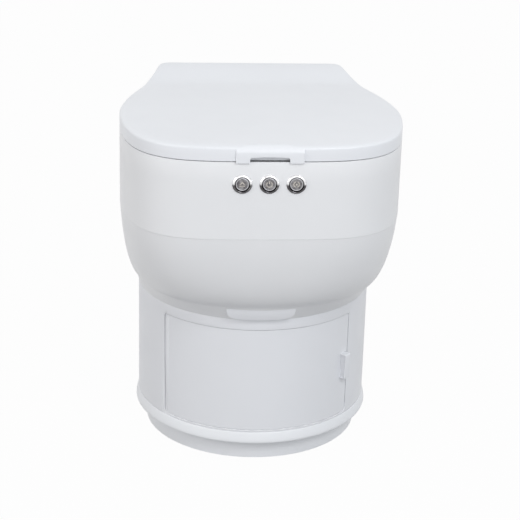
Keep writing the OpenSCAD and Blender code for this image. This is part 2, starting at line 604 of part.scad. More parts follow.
module lid() {
  rings = [lid_in(6, lid_z1 - 4, 0.9), lid_in(lid_wall, lid_z1 - 6, 0.4), low_ring(lid_wall), low_ring(0),
    lid_ring(0, lid_z1 - 4), lid_ring(0.5, lid_z1 - 2.1), lid_ring(1.5, lid_z1 - 0.8), lid_ring(2.8, lid_z1 - 0.2), lid_ring(4.4, lid_z1)];
  s0 = spine_pts(rings[0], lid_z1 - 4);
  s1 = spine_pts(rings[8], lid_z1);
  m = 9 * rn;
  color([0.92, 0.92, 0.93]) difference() {
    union() {
      polyhedron(concat(flat(rings), s0, s1),
        concat(flip(cap_up(0, m, rings[0], rn)), skin(9, rn, false), cap_up(8 * rn, m + len(s0), rings[8], rn)), convexity = 8);
      both() {
        box(96, 110, axis_y - 6, axis_y + 6, axis_z, 483.8 + tail_rise - 12);
        at_x(96, 110, axis_y, axis_z, 7);
      }
    }
    both() at_x(90, 116, axis_y, axis_z, 4 + run);
    finger_notch();
  }
}
module finger_notch() {
  translate([0, front_y + 8, 0]) rotate([90, 0, 0]) linear_extrude(30) polygon(concat([[25.5, 450], [25.5, 462.6]],
    [for (x = [24.6 : -4.1 : -24.7]) [x, 465 - 1.5 * x * x / 605]], [[-25.5, 462.6], [-25.5, 450]]));
}
module lid_grip() {
  color([0.92, 0.92, 0.93]) difference() {
    intersection() {
      translate([0, front_y, 0]) rotate([90, 0, 0]) linear_extrude(3.2) difference() {
        translate([-grip_half, 456]) square([2 * grip_half, 17.5]);
        translate([-grip_half - 1, 455]) square([4, 4]);
        translate([grip_half - 3, 455]) square([4, 4]);
      }
      translate([0, front_y, -1370]) rotate([90, 0, 0]) cylinder(r = 1843.3, h = 20, $fn = 720);
    }
    finger_notch();
    box(-60, 60, front_y - 0.6, front_y + 1, 450, lid_z0);
  }
}
module lid_bumpers() {
  color([0.75, 0.76, 0.78]) both() for (p = [[150, -120], [146, 55]]) translate([p[0] * k_w, p[1], 472]) cylinder(r = 7, h = lid_z1 - 4 - 472);
}
module jaw(y0) {
  difference() {
    box(10 - frame_x, frame_x - 10, y0, y0 + 18, jaw_z0, jaw_z1);
    both() {
      at_y(rod_x, y0 - 1, y0 + 19, rod_z, 4 + run);
      at_y(rod_x, y0 - 1, y0 + 19, screw_z, 5 + run);
    }
  }
}
module rear_jaw() { color([0.7, 0.71, 0.73]) jaw(seal_y + jaw_open + 2); }
module front_jaw() { color([0.7, 0.71, 0.73]) jaw(seal_y - jaw_open - 20); }
module jaw_pad() {
  color([0.8, 0.35, 0.25]) box(-strip_half, strip_half, seal_y + jaw_open, seal_y + jaw_open + 2, 261, 271);
}
module heater_strip() {
  color([0.75, 0.6, 0.35]) box(-strip_half, strip_half, seal_y - jaw_open - 2, seal_y - jaw_open, 263, 269);
}
module screw_rod(s) {
  color([0.72, 0.72, 0.74]) at_y(s * rod_x, -107, 80, screw_z, 5);
  color([0.3, 0.3, 0.32]) at_y(s * rod_x, 70, 78, screw_z, 12);
}
module screw_left() { screw_rod(-1); }
module screw_right() { screw_rod(1); }
module motor_pulley() {
  color([0.3, 0.3, 0.32]) at_y(0, 70, 78, screw_z, 12);
  color([0.72, 0.72, 0.74]) at_y(0, 68, 98, screw_z, 3);
}
module roller(y) {
  color([0.72, 0.72, 0.74]) at_x(frame_x - 49, frame_x, y, roller_z, 3);
  color([0.2, 0.2, 0.22]) at_x(frame_x - 47, frame_x - 22, y, roller_z, roller_r);
}
module roller_left_drive() { mirror([1, 0, 0]) roller(seal_y - 8); }
module roller_left_idler() { mirror([1, 0, 0]) roller(seal_y + 8); }
module roller_right_drive() { roller(seal_y - 8); }
module roller_right_idler() { roller(seal_y + 8); }

base_shell();
base_plate();
foot_pads();
plate_screws();
bay_shelf();
door_pins();
door_washer();
magnet_catch();
battery_pack();
control_board();
power_inlet();
coupling_ring();
neck_collar();
bowl_housing();
front_tab();
top_deck();
funnel();
film_cassette();
film_pack();
chassis_plate();
chassis_posts();
seal_frame();
guide_rods();
motor_bracket();
drive_motor();
drive_belt();
roller_blocks();
roller_motors();
button_bodies();
button_nuts();
hinge_posts();
hinge_pins();
hinge_cover();
post_screws();
base_door();
door_pull();
pull_screws();
door_striker();
waste_bin();
bin_handle();
button_cap_left();
button_cap_centre();
button_cap_right();
seat();
seat_bumpers();
lid();
lid_grip();
lid_bumpers();
rear_jaw();
jaw_pad();
front_jaw();
heater_strip();
screw_left();
screw_right();
motor_pulley();
roller_left_drive();
roller_left_idler();
roller_right_drive();
roller_right_idler();
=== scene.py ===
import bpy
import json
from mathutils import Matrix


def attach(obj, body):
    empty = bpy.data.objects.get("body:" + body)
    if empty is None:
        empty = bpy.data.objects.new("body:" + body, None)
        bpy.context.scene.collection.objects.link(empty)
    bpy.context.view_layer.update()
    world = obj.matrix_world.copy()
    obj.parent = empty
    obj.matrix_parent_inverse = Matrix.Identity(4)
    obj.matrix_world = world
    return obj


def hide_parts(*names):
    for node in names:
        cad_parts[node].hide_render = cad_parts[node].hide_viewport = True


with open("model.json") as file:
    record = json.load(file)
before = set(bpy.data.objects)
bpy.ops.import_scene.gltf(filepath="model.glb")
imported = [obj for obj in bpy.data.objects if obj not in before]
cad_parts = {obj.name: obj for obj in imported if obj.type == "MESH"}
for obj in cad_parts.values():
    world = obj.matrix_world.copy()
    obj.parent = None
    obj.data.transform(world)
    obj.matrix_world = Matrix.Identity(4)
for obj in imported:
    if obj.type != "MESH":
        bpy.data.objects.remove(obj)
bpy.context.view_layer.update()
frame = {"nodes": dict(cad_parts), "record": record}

import bpy
import bmesh
import json
import math
from mathutils import Matrix, Vector

MM = 0.001


def mm(x, y, z):
    """A place given in millimetres, in the frame's axes: x to the right, y to the back and z up."""
    return Vector((x * MM, y * MM, z * MM))


def new_object(name, data):
    obj = bpy.data.objects.new(name, data)
    bpy.context.scene.collection.objects.link(obj)
    return obj


# Camera at the photograph's angle, in metres
camera_place, camera_aim = Vector((-0.1702, -2.1461, 1.0591)), Vector((0.00938, 0.0, 0.23933))
camera_lens, camera_tilt = 110.44, 0.028


def set_up_camera():
    data = bpy.data.cameras.new("studio_camera")
    data.sensor_width, data.lens = 36.0, camera_lens
    data.clip_start, data.clip_end = 0.05, 60.0
    camera = new_object("studio_camera", data)
    ahead = (camera_aim - camera_place).normalized()
    side = ahead.cross(Vector((0, 0, 1))).normalized()
    up = side.cross(ahead)
    right = math.cos(camera_tilt) * side + math.sin(camera_tilt) * up
    top = math.cos(camera_tilt) * up - math.sin(camera_tilt) * side
    turn = Matrix((right, top, -ahead)).transposed()
    camera.matrix_world = Matrix.Translation(camera_place) @ turn.to_4x4()
    bpy.context.scene.camera = camera


# Materials: each finish is made from nodes on Object coordinates
def node(tree, kind, x=0, **values):
    """A new node; each value goes to the input of that name, or else to the node's own setting."""
    n = tree.nodes.new(kind)
    n.location = (x, 0)
    for key, value in values.items():
        if key in n.inputs:
            n.inputs[key].default_value = value
        else:
            setattr(n, key, value)
    return n


def noise(tree, where, scale, detail=3.0, rough=0.5):
    n = node(tree, "ShaderNodeTexNoise", -900, Scale=scale, Detail=detail, Roughness=rough)
    tree.links.new(where, n.inputs["Vector"])
    return n.outputs["Fac"]


def spread(tree, value, low=0.0, high=1.0, from_low=0.3, from_high=0.7):
    """Stretches a value from one range to another; a noise stays mostly between 0.3 and 0.7."""
    n = node(tree, "ShaderNodeMapRange", -600,
             **{"From Min": from_low, "From Max": from_high, "To Min": low, "To Max": high})
    tree.links.new(value, n.inputs["Value"])
    return n.outputs["Result"]


def blend_colours(tree, fac, a, b):
    n = node(tree, "ShaderNodeMix", -400)
    n.data_type = "RGBA"
    tree.links.new(fac, n.inputs["Factor"])
    for socket, colour in ((n.inputs[6], a), (n.inputs[7], b)):
        if isinstance(colour, tuple):
            socket.default_value = (*colour, 1)
        else:
            tree.links.new(colour, socket)
    return n.outputs[2]


def new_material(name, metallic=0.0, specular=0.5):
    material = bpy.data.materials.new(name)
    material.use_nodes = True
    tree = material.node_tree
    shader = tree.nodes["Principled BSDF"]
    shader.inputs["Metallic"].default_value = metallic
    shader.inputs["Specular IOR Level"].default_value = specular
    place = node(tree, "ShaderNodeTexCoord", -1200).outputs["Object"]
    return material, tree, shader, place


def paint(tree, shader, colour, roughness):
    tree.links.new(colour, shader.inputs["Base Color"])
    tree.links.new(roughness, shader.inputs["Roughness"])


def bump(tree, shader, height, strength, distance):
    n = node(tree, "ShaderNodeBump", -200, Strength=strength, Distance=distance)
    tree.links.new(height, n.inputs["Height"])
    tree.links.new(n.outputs["Normal"], shader.inputs["Normal"])


def moulded_plastic(name, light, dark, gloss_low, gloss_high, grain=420.0, depth=0.00002):
    """Moulded plastic: faint clouding, fine mould grain and uneven gloss."""
    m, tree, shader, place = new_material(name)
    clouds = spread(tree, noise(tree, place, 7.0, 4.0))
    paint(tree, shader, blend_colours(tree, clouds, dark, light),
          spread(tree, noise(tree, place, 34.0, 5.0), gloss_low, gloss_high))
    bump(tree, shader, noise(tree, place, grain, 2.0), 0.35, depth)
    return m


def metal(name, light, dark, gloss_low, gloss_high, stretch=(1.0, 1.0, 1.0), grain=300.0):
    """Metal: brushed or turned where stretched, with uneven tarnish."""
    m, tree, shader, place = new_material(name, metallic=1.0)
    mapping = node(tree, "ShaderNodeMapping", -1050, Scale=stretch)
    tree.links.new(place, mapping.inputs["Vector"])
    lines = noise(tree, mapping.outputs["Vector"], grain, 4.0, 0.6)
    paint(tree, shader, blend_colours(tree, spread(tree, lines), dark, light),
          spread(tree, noise(tree, place, 60.0), gloss_low, gloss_high))
    bump(tree, shader, lines, 0.3, 0.00002)
    return m


# Light and dark shade, gloss from and to, and grain and its depth where they are not the usual ones
plastics = {
    "lid_white": ((0.80, 0.814, 0.845), (0.782, 0.795, 0.826), 0.3, 0.38, 460.0),
    "seat_white": ((0.80, 0.805, 0.82), (0.78, 0.785, 0.80), 0.3, 0.38, 460.0),
    "shell_white": ((0.80, 0.805, 0.82), (0.775, 0.78, 0.795), 0.36, 0.46, 460.0),
    "door_white": ((0.775, 0.785, 0.816), (0.754, 0.764, 0.792), 0.36, 0.46, 460.0),
    "base_white": ((0.775, 0.785, 0.816), (0.754, 0.764, 0.792), 0.36, 0.46, 460.0),
    "foot_white": ((0.815, 0.83, 0.856), (0.797, 0.808, 0.831), 0.34, 0.44, 460.0),
    "deck_white": ((0.79, 0.80, 0.81), (0.76, 0.77, 0.78), 0.42, 0.52, 380.0),
    "bowl_white": ((0.80, 0.81, 0.83), (0.77, 0.78, 0.80), 0.25, 0.35, 380.0),
    "shelf_grey": ((0.52, 0.53, 0.56), (0.46, 0.475, 0.50), 0.45, 0.6, 300.0, 0.00004),
    "bumper_grey": ((0.50, 0.51, 0.53), (0.43, 0.44, 0.46), 0.6, 0.8, 260.0, 0.00005),
    "nylon": ((0.78, 0.78, 0.74), (0.72, 0.72, 0.68), 0.4, 0.55),
    "dark_plastic": ((0.06, 0.062, 0.068), (0.035, 0.036, 0.04), 0.4, 0.6, 300.0, 0.00005),
    "cassette_grey": ((0.42, 0.45, 0.49), (0.36, 0.385, 0.42), 0.4, 0.55, 300.0, 0.00004),
    "bin_grey": ((0.22, 0.235, 0.26), (0.17, 0.185, 0.205), 0.42, 0.6, 240.0, 0.00006),
    "rubber": ((0.045, 0.045, 0.048), (0.025, 0.025, 0.028), 0.7, 0.9, 260.0, 0.00006),
    "roller_rubber": ((0.09, 0.09, 0.1), (0.05, 0.05, 0.056), 0.65, 0.85, 200.0, 0.00008),
    "silicone": ((0.62, 0.19, 0.12), (0.5, 0.14, 0.09), 0.5, 0.65, 260.0, 0.00005),
    "floor_plate": ((0.36, 0.365, 0.38), (0.30, 0.305, 0.315), 0.5, 0.7, 700.0, 0.0001),
    "frame_grey": ((0.32, 0.34, 0.37), (0.26, 0.275, 0.3), 0.42, 0.58, 600.0, 0.00006),
    "motor_dark": ((0.09, 0.095, 0.11), (0.05, 0.054, 0.062), 0.35, 0.5, 500.0, 0.00005),
    # A whiter copy of the wall's plastic for the door frame's chamfer: a painted highlight along the frame's edge
    "frame_painted_highlight": ((0.86, 0.87, 0.89), (0.84, 0.85, 0.87), 0.3, 0.4, 460.0),
}
# Light and dark shade, gloss from and to, and stretch and grain where they are not the usual ones
metals = {
    "steel": ((0.66, 0.66, 0.68), (0.5, 0.5, 0.52), 0.25, 0.4),
    "handle_steel": ((0.62, 0.62, 0.65), (0.46, 0.46, 0.49), 0.28, 0.42, (0.1, 1.0, 1.0)),
    "drive_steel": ((0.58, 0.58, 0.6), (0.42, 0.42, 0.44), 0.22, 0.36, (1.0, 6.0, 1.0)),
    "jaw_metal": ((0.7, 0.71, 0.73), (0.58, 0.59, 0.61), 0.3, 0.45, (0.05, 1.0, 1.0)),
    "heater": ((0.72, 0.53, 0.27), (0.55, 0.37, 0.17), 0.3, 0.5, (0.1, 1.0, 1.0)),
    "worn_relief": ((0.66, 0.62, 0.57), (0.36, 0.34, 0.31), 0.3, 0.45, (1.0, 1.0, 1.0), 260.0),
}


def pleated_film():
    """Thin film packed in rings, in fine pleats: bumped, and with their light and shade painted into the colour as
    bright and dark bands.
    """
    m, tree, shader, place = new_material("film", specular=0.6)
    waves = node(tree, "ShaderNodeTexWave", -900, wave_type="BANDS", bands_direction="Z", Scale=160.0, Distortion=1.5)
    tree.links.new(place, waves.inputs["Vector"])
    pleats = waves.outputs["Fac"]
    # Painted light and shade of the pleats, in bands
    paint(tree, shader, blend_colours(tree, pleats, (0.66, 0.69, 0.76), (0.86, 0.88, 0.93)),
          spread(tree, noise(tree, place, 90.0), 0.2, 0.35))
    bump(tree, shader, pleats, 0.5, 0.0002)
    return m


def circuit_board():
    """Green board with a fine pattern of tracks."""
    m, tree, shader, place = new_material("board")
    bricks = node(tree, "ShaderNodeTexBrick", -900, **{"Scale": 170.0, "Mortar Size": 0.03})
    tree.links.new(place, bricks.inputs["Vector"])
    tracks = bricks.outputs["Fac"]
    paint(tree, shader, blend_colours(tree, tracks, (0.03, 0.17, 0.08), (0.16, 0.36, 0.17)),
          spread(tree, noise(tree, place, 80.0), 0.35, 0.5))
    bump(tree, shader, tracks, 0.3, 0.00004)
    return m


def chrome_with_painted_reflection():
    """Polished bezel with a painted reflection: its top half is painted bright and its lower half dark, as turned
    chrome looks under a high lamp.
    """
    m, tree, shader, place = new_material("button_metal", metallic=1.0)
    split = node(tree, "ShaderNodeSeparateXYZ", -1000)
    tree.links.new(place, split.inputs["Vector"])
    # Height of the line between the painted bright and dark halves of the reflection, and half its softness, in metres
    painted_reflection_edge, soft = 0.4277, 0.0012
    # How far each place lies in the painted bright half of the reflection
    upper = spread(tree, split.outputs["Z"], 0.0, 1.0, painted_reflection_edge - soft, painted_reflection_edge + soft)
    streaks = noise(tree, place, 210.0, 3.0)
    # Painted reflections, streaked: dark for the lower half and bright for the top half
    low = blend_colours(tree, spread(tree, streaks), (0.075, 0.072, 0.078), (0.15, 0.145, 0.15))
    high = blend_colours(tree, spread(tree, streaks, 0.0, 1.0, 0.25, 0.55), (0.62, 0.61, 0.62), (0.95, 0.95, 0.96))
    paint(tree, shader, blend_colours(tree, upper, low, high), spread(tree, noise(tree, place, 120.0), 0.14, 0.22))
    bump(tree, shader, streaks, 0.15, 0.00003)
    return m


def switch_face():
    """Spun grey face with a mottled sheen."""
    m, tree, shader, place = new_material("button_face", metallic=0.8)
    patches = noise(tree, place, 230.0, 4.0, 0.6)
    mottle = spread(tree, patches, 0.0, 1.0, 0.35, 0.65)
    paint(tree, shader, blend_colours(tree, mottle, (0.10, 0.095, 0.105), (0.34, 0.33, 0.335)),
          spread(tree, patches, 0.3, 0.5))
    bump(tree, shader, patches, 0.4, 0.00006)
    return m


finishes = {name: moulded_plastic(name, *look) for name, look in plastics.items()}
finishes.update({name: metal(name, *look) for name, look in metals.items()})
finishes.update(film=pleated_film(), board=circuit_board(), button_metal=chrome_with_painted_reflection(), button_face=switch_face())


# Making and finishing pieces
def smooth_faces(bm, sharp):
    limit = math.radians(sharp)
    for face in bm.faces:
        face.smooth = True
    for edge in bm.edges:
        if len(edge.link_faces) == 2:
            edge.smooth = edge.calc_face_angle(0.0) < limit


def mesh_of(bm, name):
    """Turns a bmesh into a mesh and frees it."""
    mesh = bpy.data.meshes.new(name)
    bm.to_mesh(mesh)
    bm.free()
    return mesh


def keep(bm, name, body, finish, replaced=(), sharp=32.0, outward=True):
    """Turns a finished bmesh into a piece that rides on its body."""
    bmesh.ops.remove_doubles(bm, verts=bm.verts, dist=1e-7)
    if outward:
        bmesh.ops.recalc_face_normals(bm, faces=bm.faces)
    smooth_faces(bm, sharp)
    piece = new_object(name, mesh_of(bm, name))
    piece.data.materials.append(finishes[finish])
    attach(piece, body)
    if replaced:
        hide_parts(*replaced)
    return piece


def add_bevel(piece, width, segments, angle):
    mod = piece.modifiers.new("edge_round", "BEVEL")
    mod.width = width
    mod.segments = segments
    mod.limit_method = "ANGLE"
    mod.angle_limit = math.radians(angle)
    mod.use_clamp_overlap = True
    mod.harden_normals = True


def add_wall(piece, thickness, even=True):
    mod = piece.modifiers.new("wall", "SOLIDIFY")
    mod.thickness = thickness
    mod.offset = -1.0
    mod.use_even_offset = even
    mod.use_quality_normals = even


def bore(piece, bm):
    """Cuts the shapes in bm out of a piece, so that a moving button has its hole."""
    tool = new_object("bore_tool", mesh_of(bm, "bore_shape"))
    cut = piece.modifiers.new("Bore", "BOOLEAN")
    cut.operation, cut.solver, cut.object = "DIFFERENCE", "EXACT", tool
    solid = bpy.data.meshes.new_from_object(piece.evaluated_get(bpy.context.evaluated_depsgraph_get()))
    piece.modifiers.remove(cut)
    whole, shape = piece.data, tool.data
    piece.data = solid
    bpy.data.objects.remove(tool)
    for mesh in (whole, shape):
        bpy.data.meshes.remove(mesh)
    solid.name = piece.name


def turn(bm, verts, degrees, axis="Z"):
    bmesh.ops.rotate(bm, verts=verts, cent=Vector((0, 0, 0)), matrix=Matrix.Rotation(math.radians(degrees), 3, axis))


def block(bm, size, middle, degrees=0.0):
    """A box of a size at a place, then turned about the upright axis."""
    made = bmesh.ops.create_cube(bm, size=1.0)["verts"]
    bmesh.ops.scale(bm, verts=made, vec=mm(*size))
    bmesh.ops.translate(bm, verts=made, vec=mm(*middle))
    if degrees:
        turn(bm, made, degrees)


def extruded(bm, faces):
    """Extrudes faces where they are, and gives the new verts."""
    pulled = bmesh.ops.extrude_face_region(bm, geom=faces)["geom"]
    return [g for g in pulled if isinstance(g, bmesh.types.BMVert)]


def grid(bm, columns, rows):
    """A grid of columns by rows of verts, as (vert, column, row), still to be put in place."""
    made = bmesh.ops.create_grid(bm, x_segments=columns - 1, y_segments=rows - 1, size=1.0)["verts"]
    return [(v, round((v.co.x + 1) / 2 * (columns - 1)), round((v.co.y + 1) / 2 * (rows - 1))) for v in made]


def face_outward(bm):
    """Turns the faces of a bent sheet away from the base's axis."""
    bmesh.ops.recalc_face_normals(bm, faces=bm.faces)
    if sum(f.normal.dot(f.calc_center_median()) for f in bm.faces) < 0:
        bmesh.ops.reverse_faces(bm, faces=bm.faces)


def ring(bm, points):
    """A closed loop of edges on the given points."""
    made = bmesh.ops.create_circle(bm, segments=len(points), radius=1.0)["verts"]
    made.sort(key=lambda v: math.atan2(v.co.x, -v.co.y) % math.tau)
    for vert, point in zip(made, points):
        vert.co = point
    return made


def edges_of(verts):
    inside = set(verts)
    return [e for e in {e for v in verts for e in v.link_edges} if e.verts[0] in inside and e.verts[1] in inside]


def loft(bm, rings, closed=False):
    """Bridges rings of equal count; closed joins the last to the first. They stand apart while they are bridged."""
    loops = [ring(bm, [Vector((p.x, p.y, k)) for p in points]) for k, points in enumerate(rings)]
    edges = [edges_of(loop) for loop in loops]
    for k in range(len(loops) - 1):
        bmesh.ops.bridge_loops(bm, edges=edges[k] + edges[k + 1])
    if closed:
        bmesh.ops.bridge_loops(bm, edges=edges[-1] + edges[0])
    for loop, points in zip(loops, rings):
        for vert, point in zip(loop, points):
            vert.co = point
    return loops


def between(table, value, column=1):
    """Smooth monotone reading of a table whose rows begin with the value."""
    if value <= table[0][0]:
        return table[0][column]
    if value >= table[-1][0]:
        return table[-1][column]
    xs, ys = [row[0] for row in table], [row[column] for row in table]
    slopes = [(ys[i + 1] - ys[i]) / (xs[i + 1] - xs[i]) for i in range(len(table) - 1)]
    ends = [slopes[0]]
    for a, b in zip(slopes, slopes[1:]):
        ends.append(0.0 if a * b <= 0 else 2 * a * b / (a + b))
    ends.append(slopes[-1])
    i = next(k for k in range(len(slopes)) if value <= xs[k + 1])
    h = xs[i + 1] - xs[i]
    t = (value - xs[i]) / h
    return ((2 * t ** 3 - 3 * t ** 2 + 1) * ys[i] + (t ** 3 - 2 * t ** 2 + t) * h * ends[i]
            + (3 * t ** 2 - 2 * t ** 3) * ys[i + 1] + (t ** 3 - t ** 2) * h * ends[i + 1])


def unit(value):
    """Holds a value between 0 and 1."""
    return min(1.0, max(0.0, value))


def mix(p, q, share):
    """The place that lies a share of the way from p to q."""
    return (p[0] + share * (q[0] - p[0]), p[1] + share * (q[1] - p[1]))


def steps_between(a, b, count):
    return [a + (b - a) * i / count for i in range(count + 1)]


# Main sizes in millimetres; the frame's front is at negative y
half_width, front_depth, front_centre, squareness = 192.6, 276.3, 52.3, 4.03
widest, middle_y = 191.1, -40
base_radius, wall = 165.0, 3
neck_low, housing_low, housing_top, lid_top = 215, 239, 457, 478
# The hinge axis of lid and seat
axis_y, axis_z = 148, 468
# The buttons: distance apart, height, and the housing's front face there
pitch, button_height, face_y = 34.6, 428.0, -224.0

# The rear of the plan outline of the housing and lid, from beside its widest place to the middle of the back
rear_points = [(189.8, -86), (191.1, -66), (191, -45), (188.6, -25), (184.7, -4), (179.6, 17), (172.6, 39),
               (164.3, 61), (156.6, 83), (150.8, 100), (147.2, 109.5), (144.5, 117), (142.1, 124), (139.4, 132.5),
               (136.7, 143), (133.8, 151.5), (128.3, 157.6), (120, 160.2), (100, 160.4), (75, 160.4), (50, 160.4),
               (25, 160.4), (0, 160.4)]
# Where the front half is sampled: by x near the middle, then by angle round the corner
front_xs = (0, 6, 12, 18.5, 25.5, 32, 38, 43.5, 50, 56, 62)
front_angles = (7.6, 9.3, 11, 12.7, 14.5, 16.5, 18.5, 20.7, 23, 25.2, 27.5, 29.7, 32, 34.2, 36.5, 38.7, 41, 43.2,
                45.5, 47.7, 50, 52.2, 54.5, 56.7, 59, 61.2, 63.5, 65.7, 68, 70)
join_angle = 72


def front_at_x(x):
    return (x, front_centre - front_depth * (1 - (x / half_width) ** squareness) ** (1 / squareness))


def front_at_angle(degrees):
    a = math.radians(degrees)
    return (half_width * math.sin(a) ** (2 / squareness), front_centre - front_depth * math.cos(a) ** (2 / squareness))


def smooth_run(points, steps):
    """A smooth run from the second point to the last, which lies on the middle line; the first only steers it."""
    out = []
    for i in range(1, len(points) - 1):
        after = points[i + 2] if i + 2 < len(points) else (-points[i][0], points[i][1])
        near = (points[i - 1], points[i], points[i + 1], after)
        for s in range(steps):
            t = s / steps
            out.append(tuple(0.5 * (2 * b + (c - a) * t + (2 * a - 5 * b + 4 * c - d) * t * t
                                    + (3 * b - a - 3 * c + d) * t ** 3) for a, b, c, d in zip(*near)))
    out.append(points[-1])
    return out


half_outline = [front_at_x(x) for x in front_xs] + [front_at_angle(t) for t in front_angles]
half_outline += smooth_run([front_at_angle(join_angle)] + rear_points, 2)
half_outline = [(min(x, widest), y) for x, y in half_outline]
outline = half_outline + [(-x, y) for x, y in reversed(half_outline[1:-1])]
outline_angles = [math.atan2(x, -y) for x, y in outline]
round_base = [(base_radius * math.sin(a), -base_radius * math.cos(a)) for a in outline_angles]


def level(share):
    """The outline of the bowl where it has grown a share of the way from the round base to the full plan."""
    return [mix(c, t, share) for c, t in zip(round_base, outline)]


def inset(points, d):
    """The outline moved inwards by d."""
    n = len(points)
    out = []
    for i, (x, y) in enumerate(points):
        ax, ay = points[(i + 1) % n]
        bx, by = points[i - 1]
        tx, ty = ax - bx, ay - by
        size = math.hypot(tx, ty)
        out.append((x - d * ty / size, y + d * tx / size))
    return out


def at(points, z):
    return [mm(x, y, z) for x, y in points]


# The share of the full plan that the bowl and its neck have reached at a height
bowl_table = [(housing_low, 0.262), (240.8, 0.296), (244, 0.36), (249, 0.452), (256, 0.545), (265, 0.635),
              (277, 0.725), (291, 0.805), (307, 0.875), (325, 0.935), (341, 0.973), (352, 0.992)]
neck_table = [(neck_low, 0.0), (222, 0.075), (230, 0.16), (housing_low, 0.26)]


def make_housing():
    inner = [at(inset(outline, wall), housing_top), at(inset(outline, wall), 353)]
    inner += [at(inset(level(w), wall), z)
              for z, w in ((325, 0.935), (291, 0.805), (265, 0.635), (249, 0.46), (housing_low, 0.26))]
    heights = steps_between(housing_low, 265, 14) + steps_between(268, 352, 20)
    outer = [at(level(between(bowl_table, z)), z) for z in heights]
    outer += [at(level(0.994), 352.15), at(level(0.9985), 352.45), at(level(1.0), 352.9)]
    outer += [at(outline, z) for z in (354, 380, 405, 430, housing_top - 0.9)]
    outer += [at(inset(outline, 0.25), housing_top - 0.3), at(inset(outline, 0.8), housing_top)]
    bm = bmesh.new()
    loft(bm, inner + outer, closed=True)
    housing = keep(bm, "bowl_and_housing", "toilet", "shell_white", ["bowl_housing"], 28)
    hole, depth = 11.1 * MM, 20 * MM
    bm = bmesh.new()
    for i in (-1, 0, 1):
        made = bmesh.ops.create_cone(bm, cap_ends=True, segments=72, radius1=hole, radius2=hole, depth=depth)["verts"]
        turn(bm, made, 90, "X")
        bmesh.ops.translate(bm, verts=made, vec=mm(i * pitch, face_y, button_height))
    bore(housing, bm)


def make_collar():
    zs = steps_between(neck_low, housing_low, 8)
    inner = [at(inset(level(between(neck_table, z)), wall), z) for z in reversed(zs)]
    outer = [at(level(between(neck_table, z)), z) for z in zs]
    bm = bmesh.new()
    loft(bm, inner + outer, closed=True)
    keep(bm, "housing_collar", "toilet", "shell_white", ["neck_collar"], 28)


# The lid: the rise of its top towards the rear, its skirt, and the finger slot in the skirt's front
tail_start, tail_end, tail_height = 78.0, 158.0, 13.4
skirt_low, skirt_rise_start, skirt_rise_slope, skirt_high = 458.2, 138, 25.8 / 17, 486.5
slot_half, slot_top = 25.5, 465.2
# Its front edge: how far in from the outline, and the height there
lid_edge = [(0, 473.4), (0.12, 474.1), (0.45, 474.8), (0.95, 475.35), (1.7, 475.85), (2.8, 476.3), (4.6, 476.75),
            (7.5, 477.2), (11.5, 477.6), (15.5, 477.86), (18.5, 477.97), (21, 478.0)]


def tail(y):
    t = unit((y - tail_start) / (tail_end - tail_start))
    return tail_height * t * t * (3 - 2 * t)


def lower_rim(y):
    return min(skirt_low + max(0, y - skirt_rise_start) * skirt_rise_slope, skirt_high)


def raised(points, z):
    return [mm(x, y, z + tail(y)) for x, y in points]


def make_lid():
    skirt = [mm(x, y, lower_rim(y)) for x, y in outline]
    slot = [mm(x, y, max(slot_top, lower_rim(y))) for x, y in outline]
    rings = [skirt, slot, raised(outline, lid_edge[0][1])]
    # The edge's roll is at its full breadth at the front and down to a fifth of it at the rear
    roll = [1.0 - 0.8 * unit((y + 60) / 150) for x, y in outline]
    for d, z in lid_edge[1:]:
        crown = [mix(p, q, d * k) for p, q, k in zip(outline, inset(outline, 1.0), roll)]
        rings.append(raised(crown, z))
    for part in (0.02, 0.045, 0.075, 0.11, 0.145, 0.18, 0.22, 0.27, 0.32, 0.38, 0.45, 0.53, 0.62, 0.72, 0.82):
        rings.append(raised([mix(c, (0, middle_y), part) for c in crown], lid_top))
    bm = bmesh.new()
    loops = loft(bm, rings)

    def in_slot(f):
        c = f.calc_center_median()
        return abs(c.x) < slot_half * MM and c.y < -0.2 and c.z < slot_top * MM
    bmesh.ops.delete(bm, geom=[f for f in bm.faces if in_slot(f)], context="FACES")
    bm.faces.new(loops[-1])
    piece = keep(bm, "lid_cover", "lid", "lid_white", ["lid"], 40)
    add_wall(piece, 4 * MM, even=False)
    add_bevel(piece, 0.5 * MM, 2, 50)


def make_finger_pocket():
    """The shallow pocket that closes the finger slot inside the lid."""
    back, front, top = -217.2, -220.5, 467.5
    bm = bmesh.new()
    for x0, x1, y0, y1, z0, z1 in ((-29, 29, -218.4, back, 458.0, top), (-29, 29, front, back, 466.3, top),
                                   (-29, -27.8, front, back, 458.4, top), (27.8, 29, front, back, 458.4, top)):
        block(bm, (x1 - x0, y1 - y0, z1 - z0), ((x0 + x1) / 2, (y0 + y1) / 2, (z0 + z1) / 2))
    keep(bm, "lid_finger_pocket", "lid", "lid_white")


def hinge_eye(bm, x0, x1, radius, reshape):
    """A round end on the hinge axis from x0 to x1; reshape moves the places (y, z) that belong to its arm."""
    made = bmesh.ops.create_circle(bm, cap_ends=True, segments=40, radius=radius * MM)["verts"]
    for v in made:
        u, w = reshape(v.co.x / MM, v.co.y / MM)
        v.co = mm(x0, axis_y + u, axis_z + w)
    bmesh.ops.remove_doubles(bm, verts=made, dist=1e-6)
    faces = list({f for v in made if v.is_valid for f in v.link_faces})
    bmesh.ops.translate(bm, verts=extruded(bm, faces), vec=mm(x1 - x0, 0, 0))


def make_lid_ears():
    half, up = 6, 17.8

    def upwards(u, w):
        return (math.copysign(half, u) if abs(u) > 0.6 else 0.0, up) if w > 0.5 else (u, w)
    bm = bmesh.new()
    for side in (-1, 1):
        hinge_eye(bm, side * 96, side * 110, 7, upwards)
    piece = keep(bm, "lid_hinge_ears", "lid", "lid_white", (), 30)
    add_bevel(piece, 0.6 * MM, 2, 40)


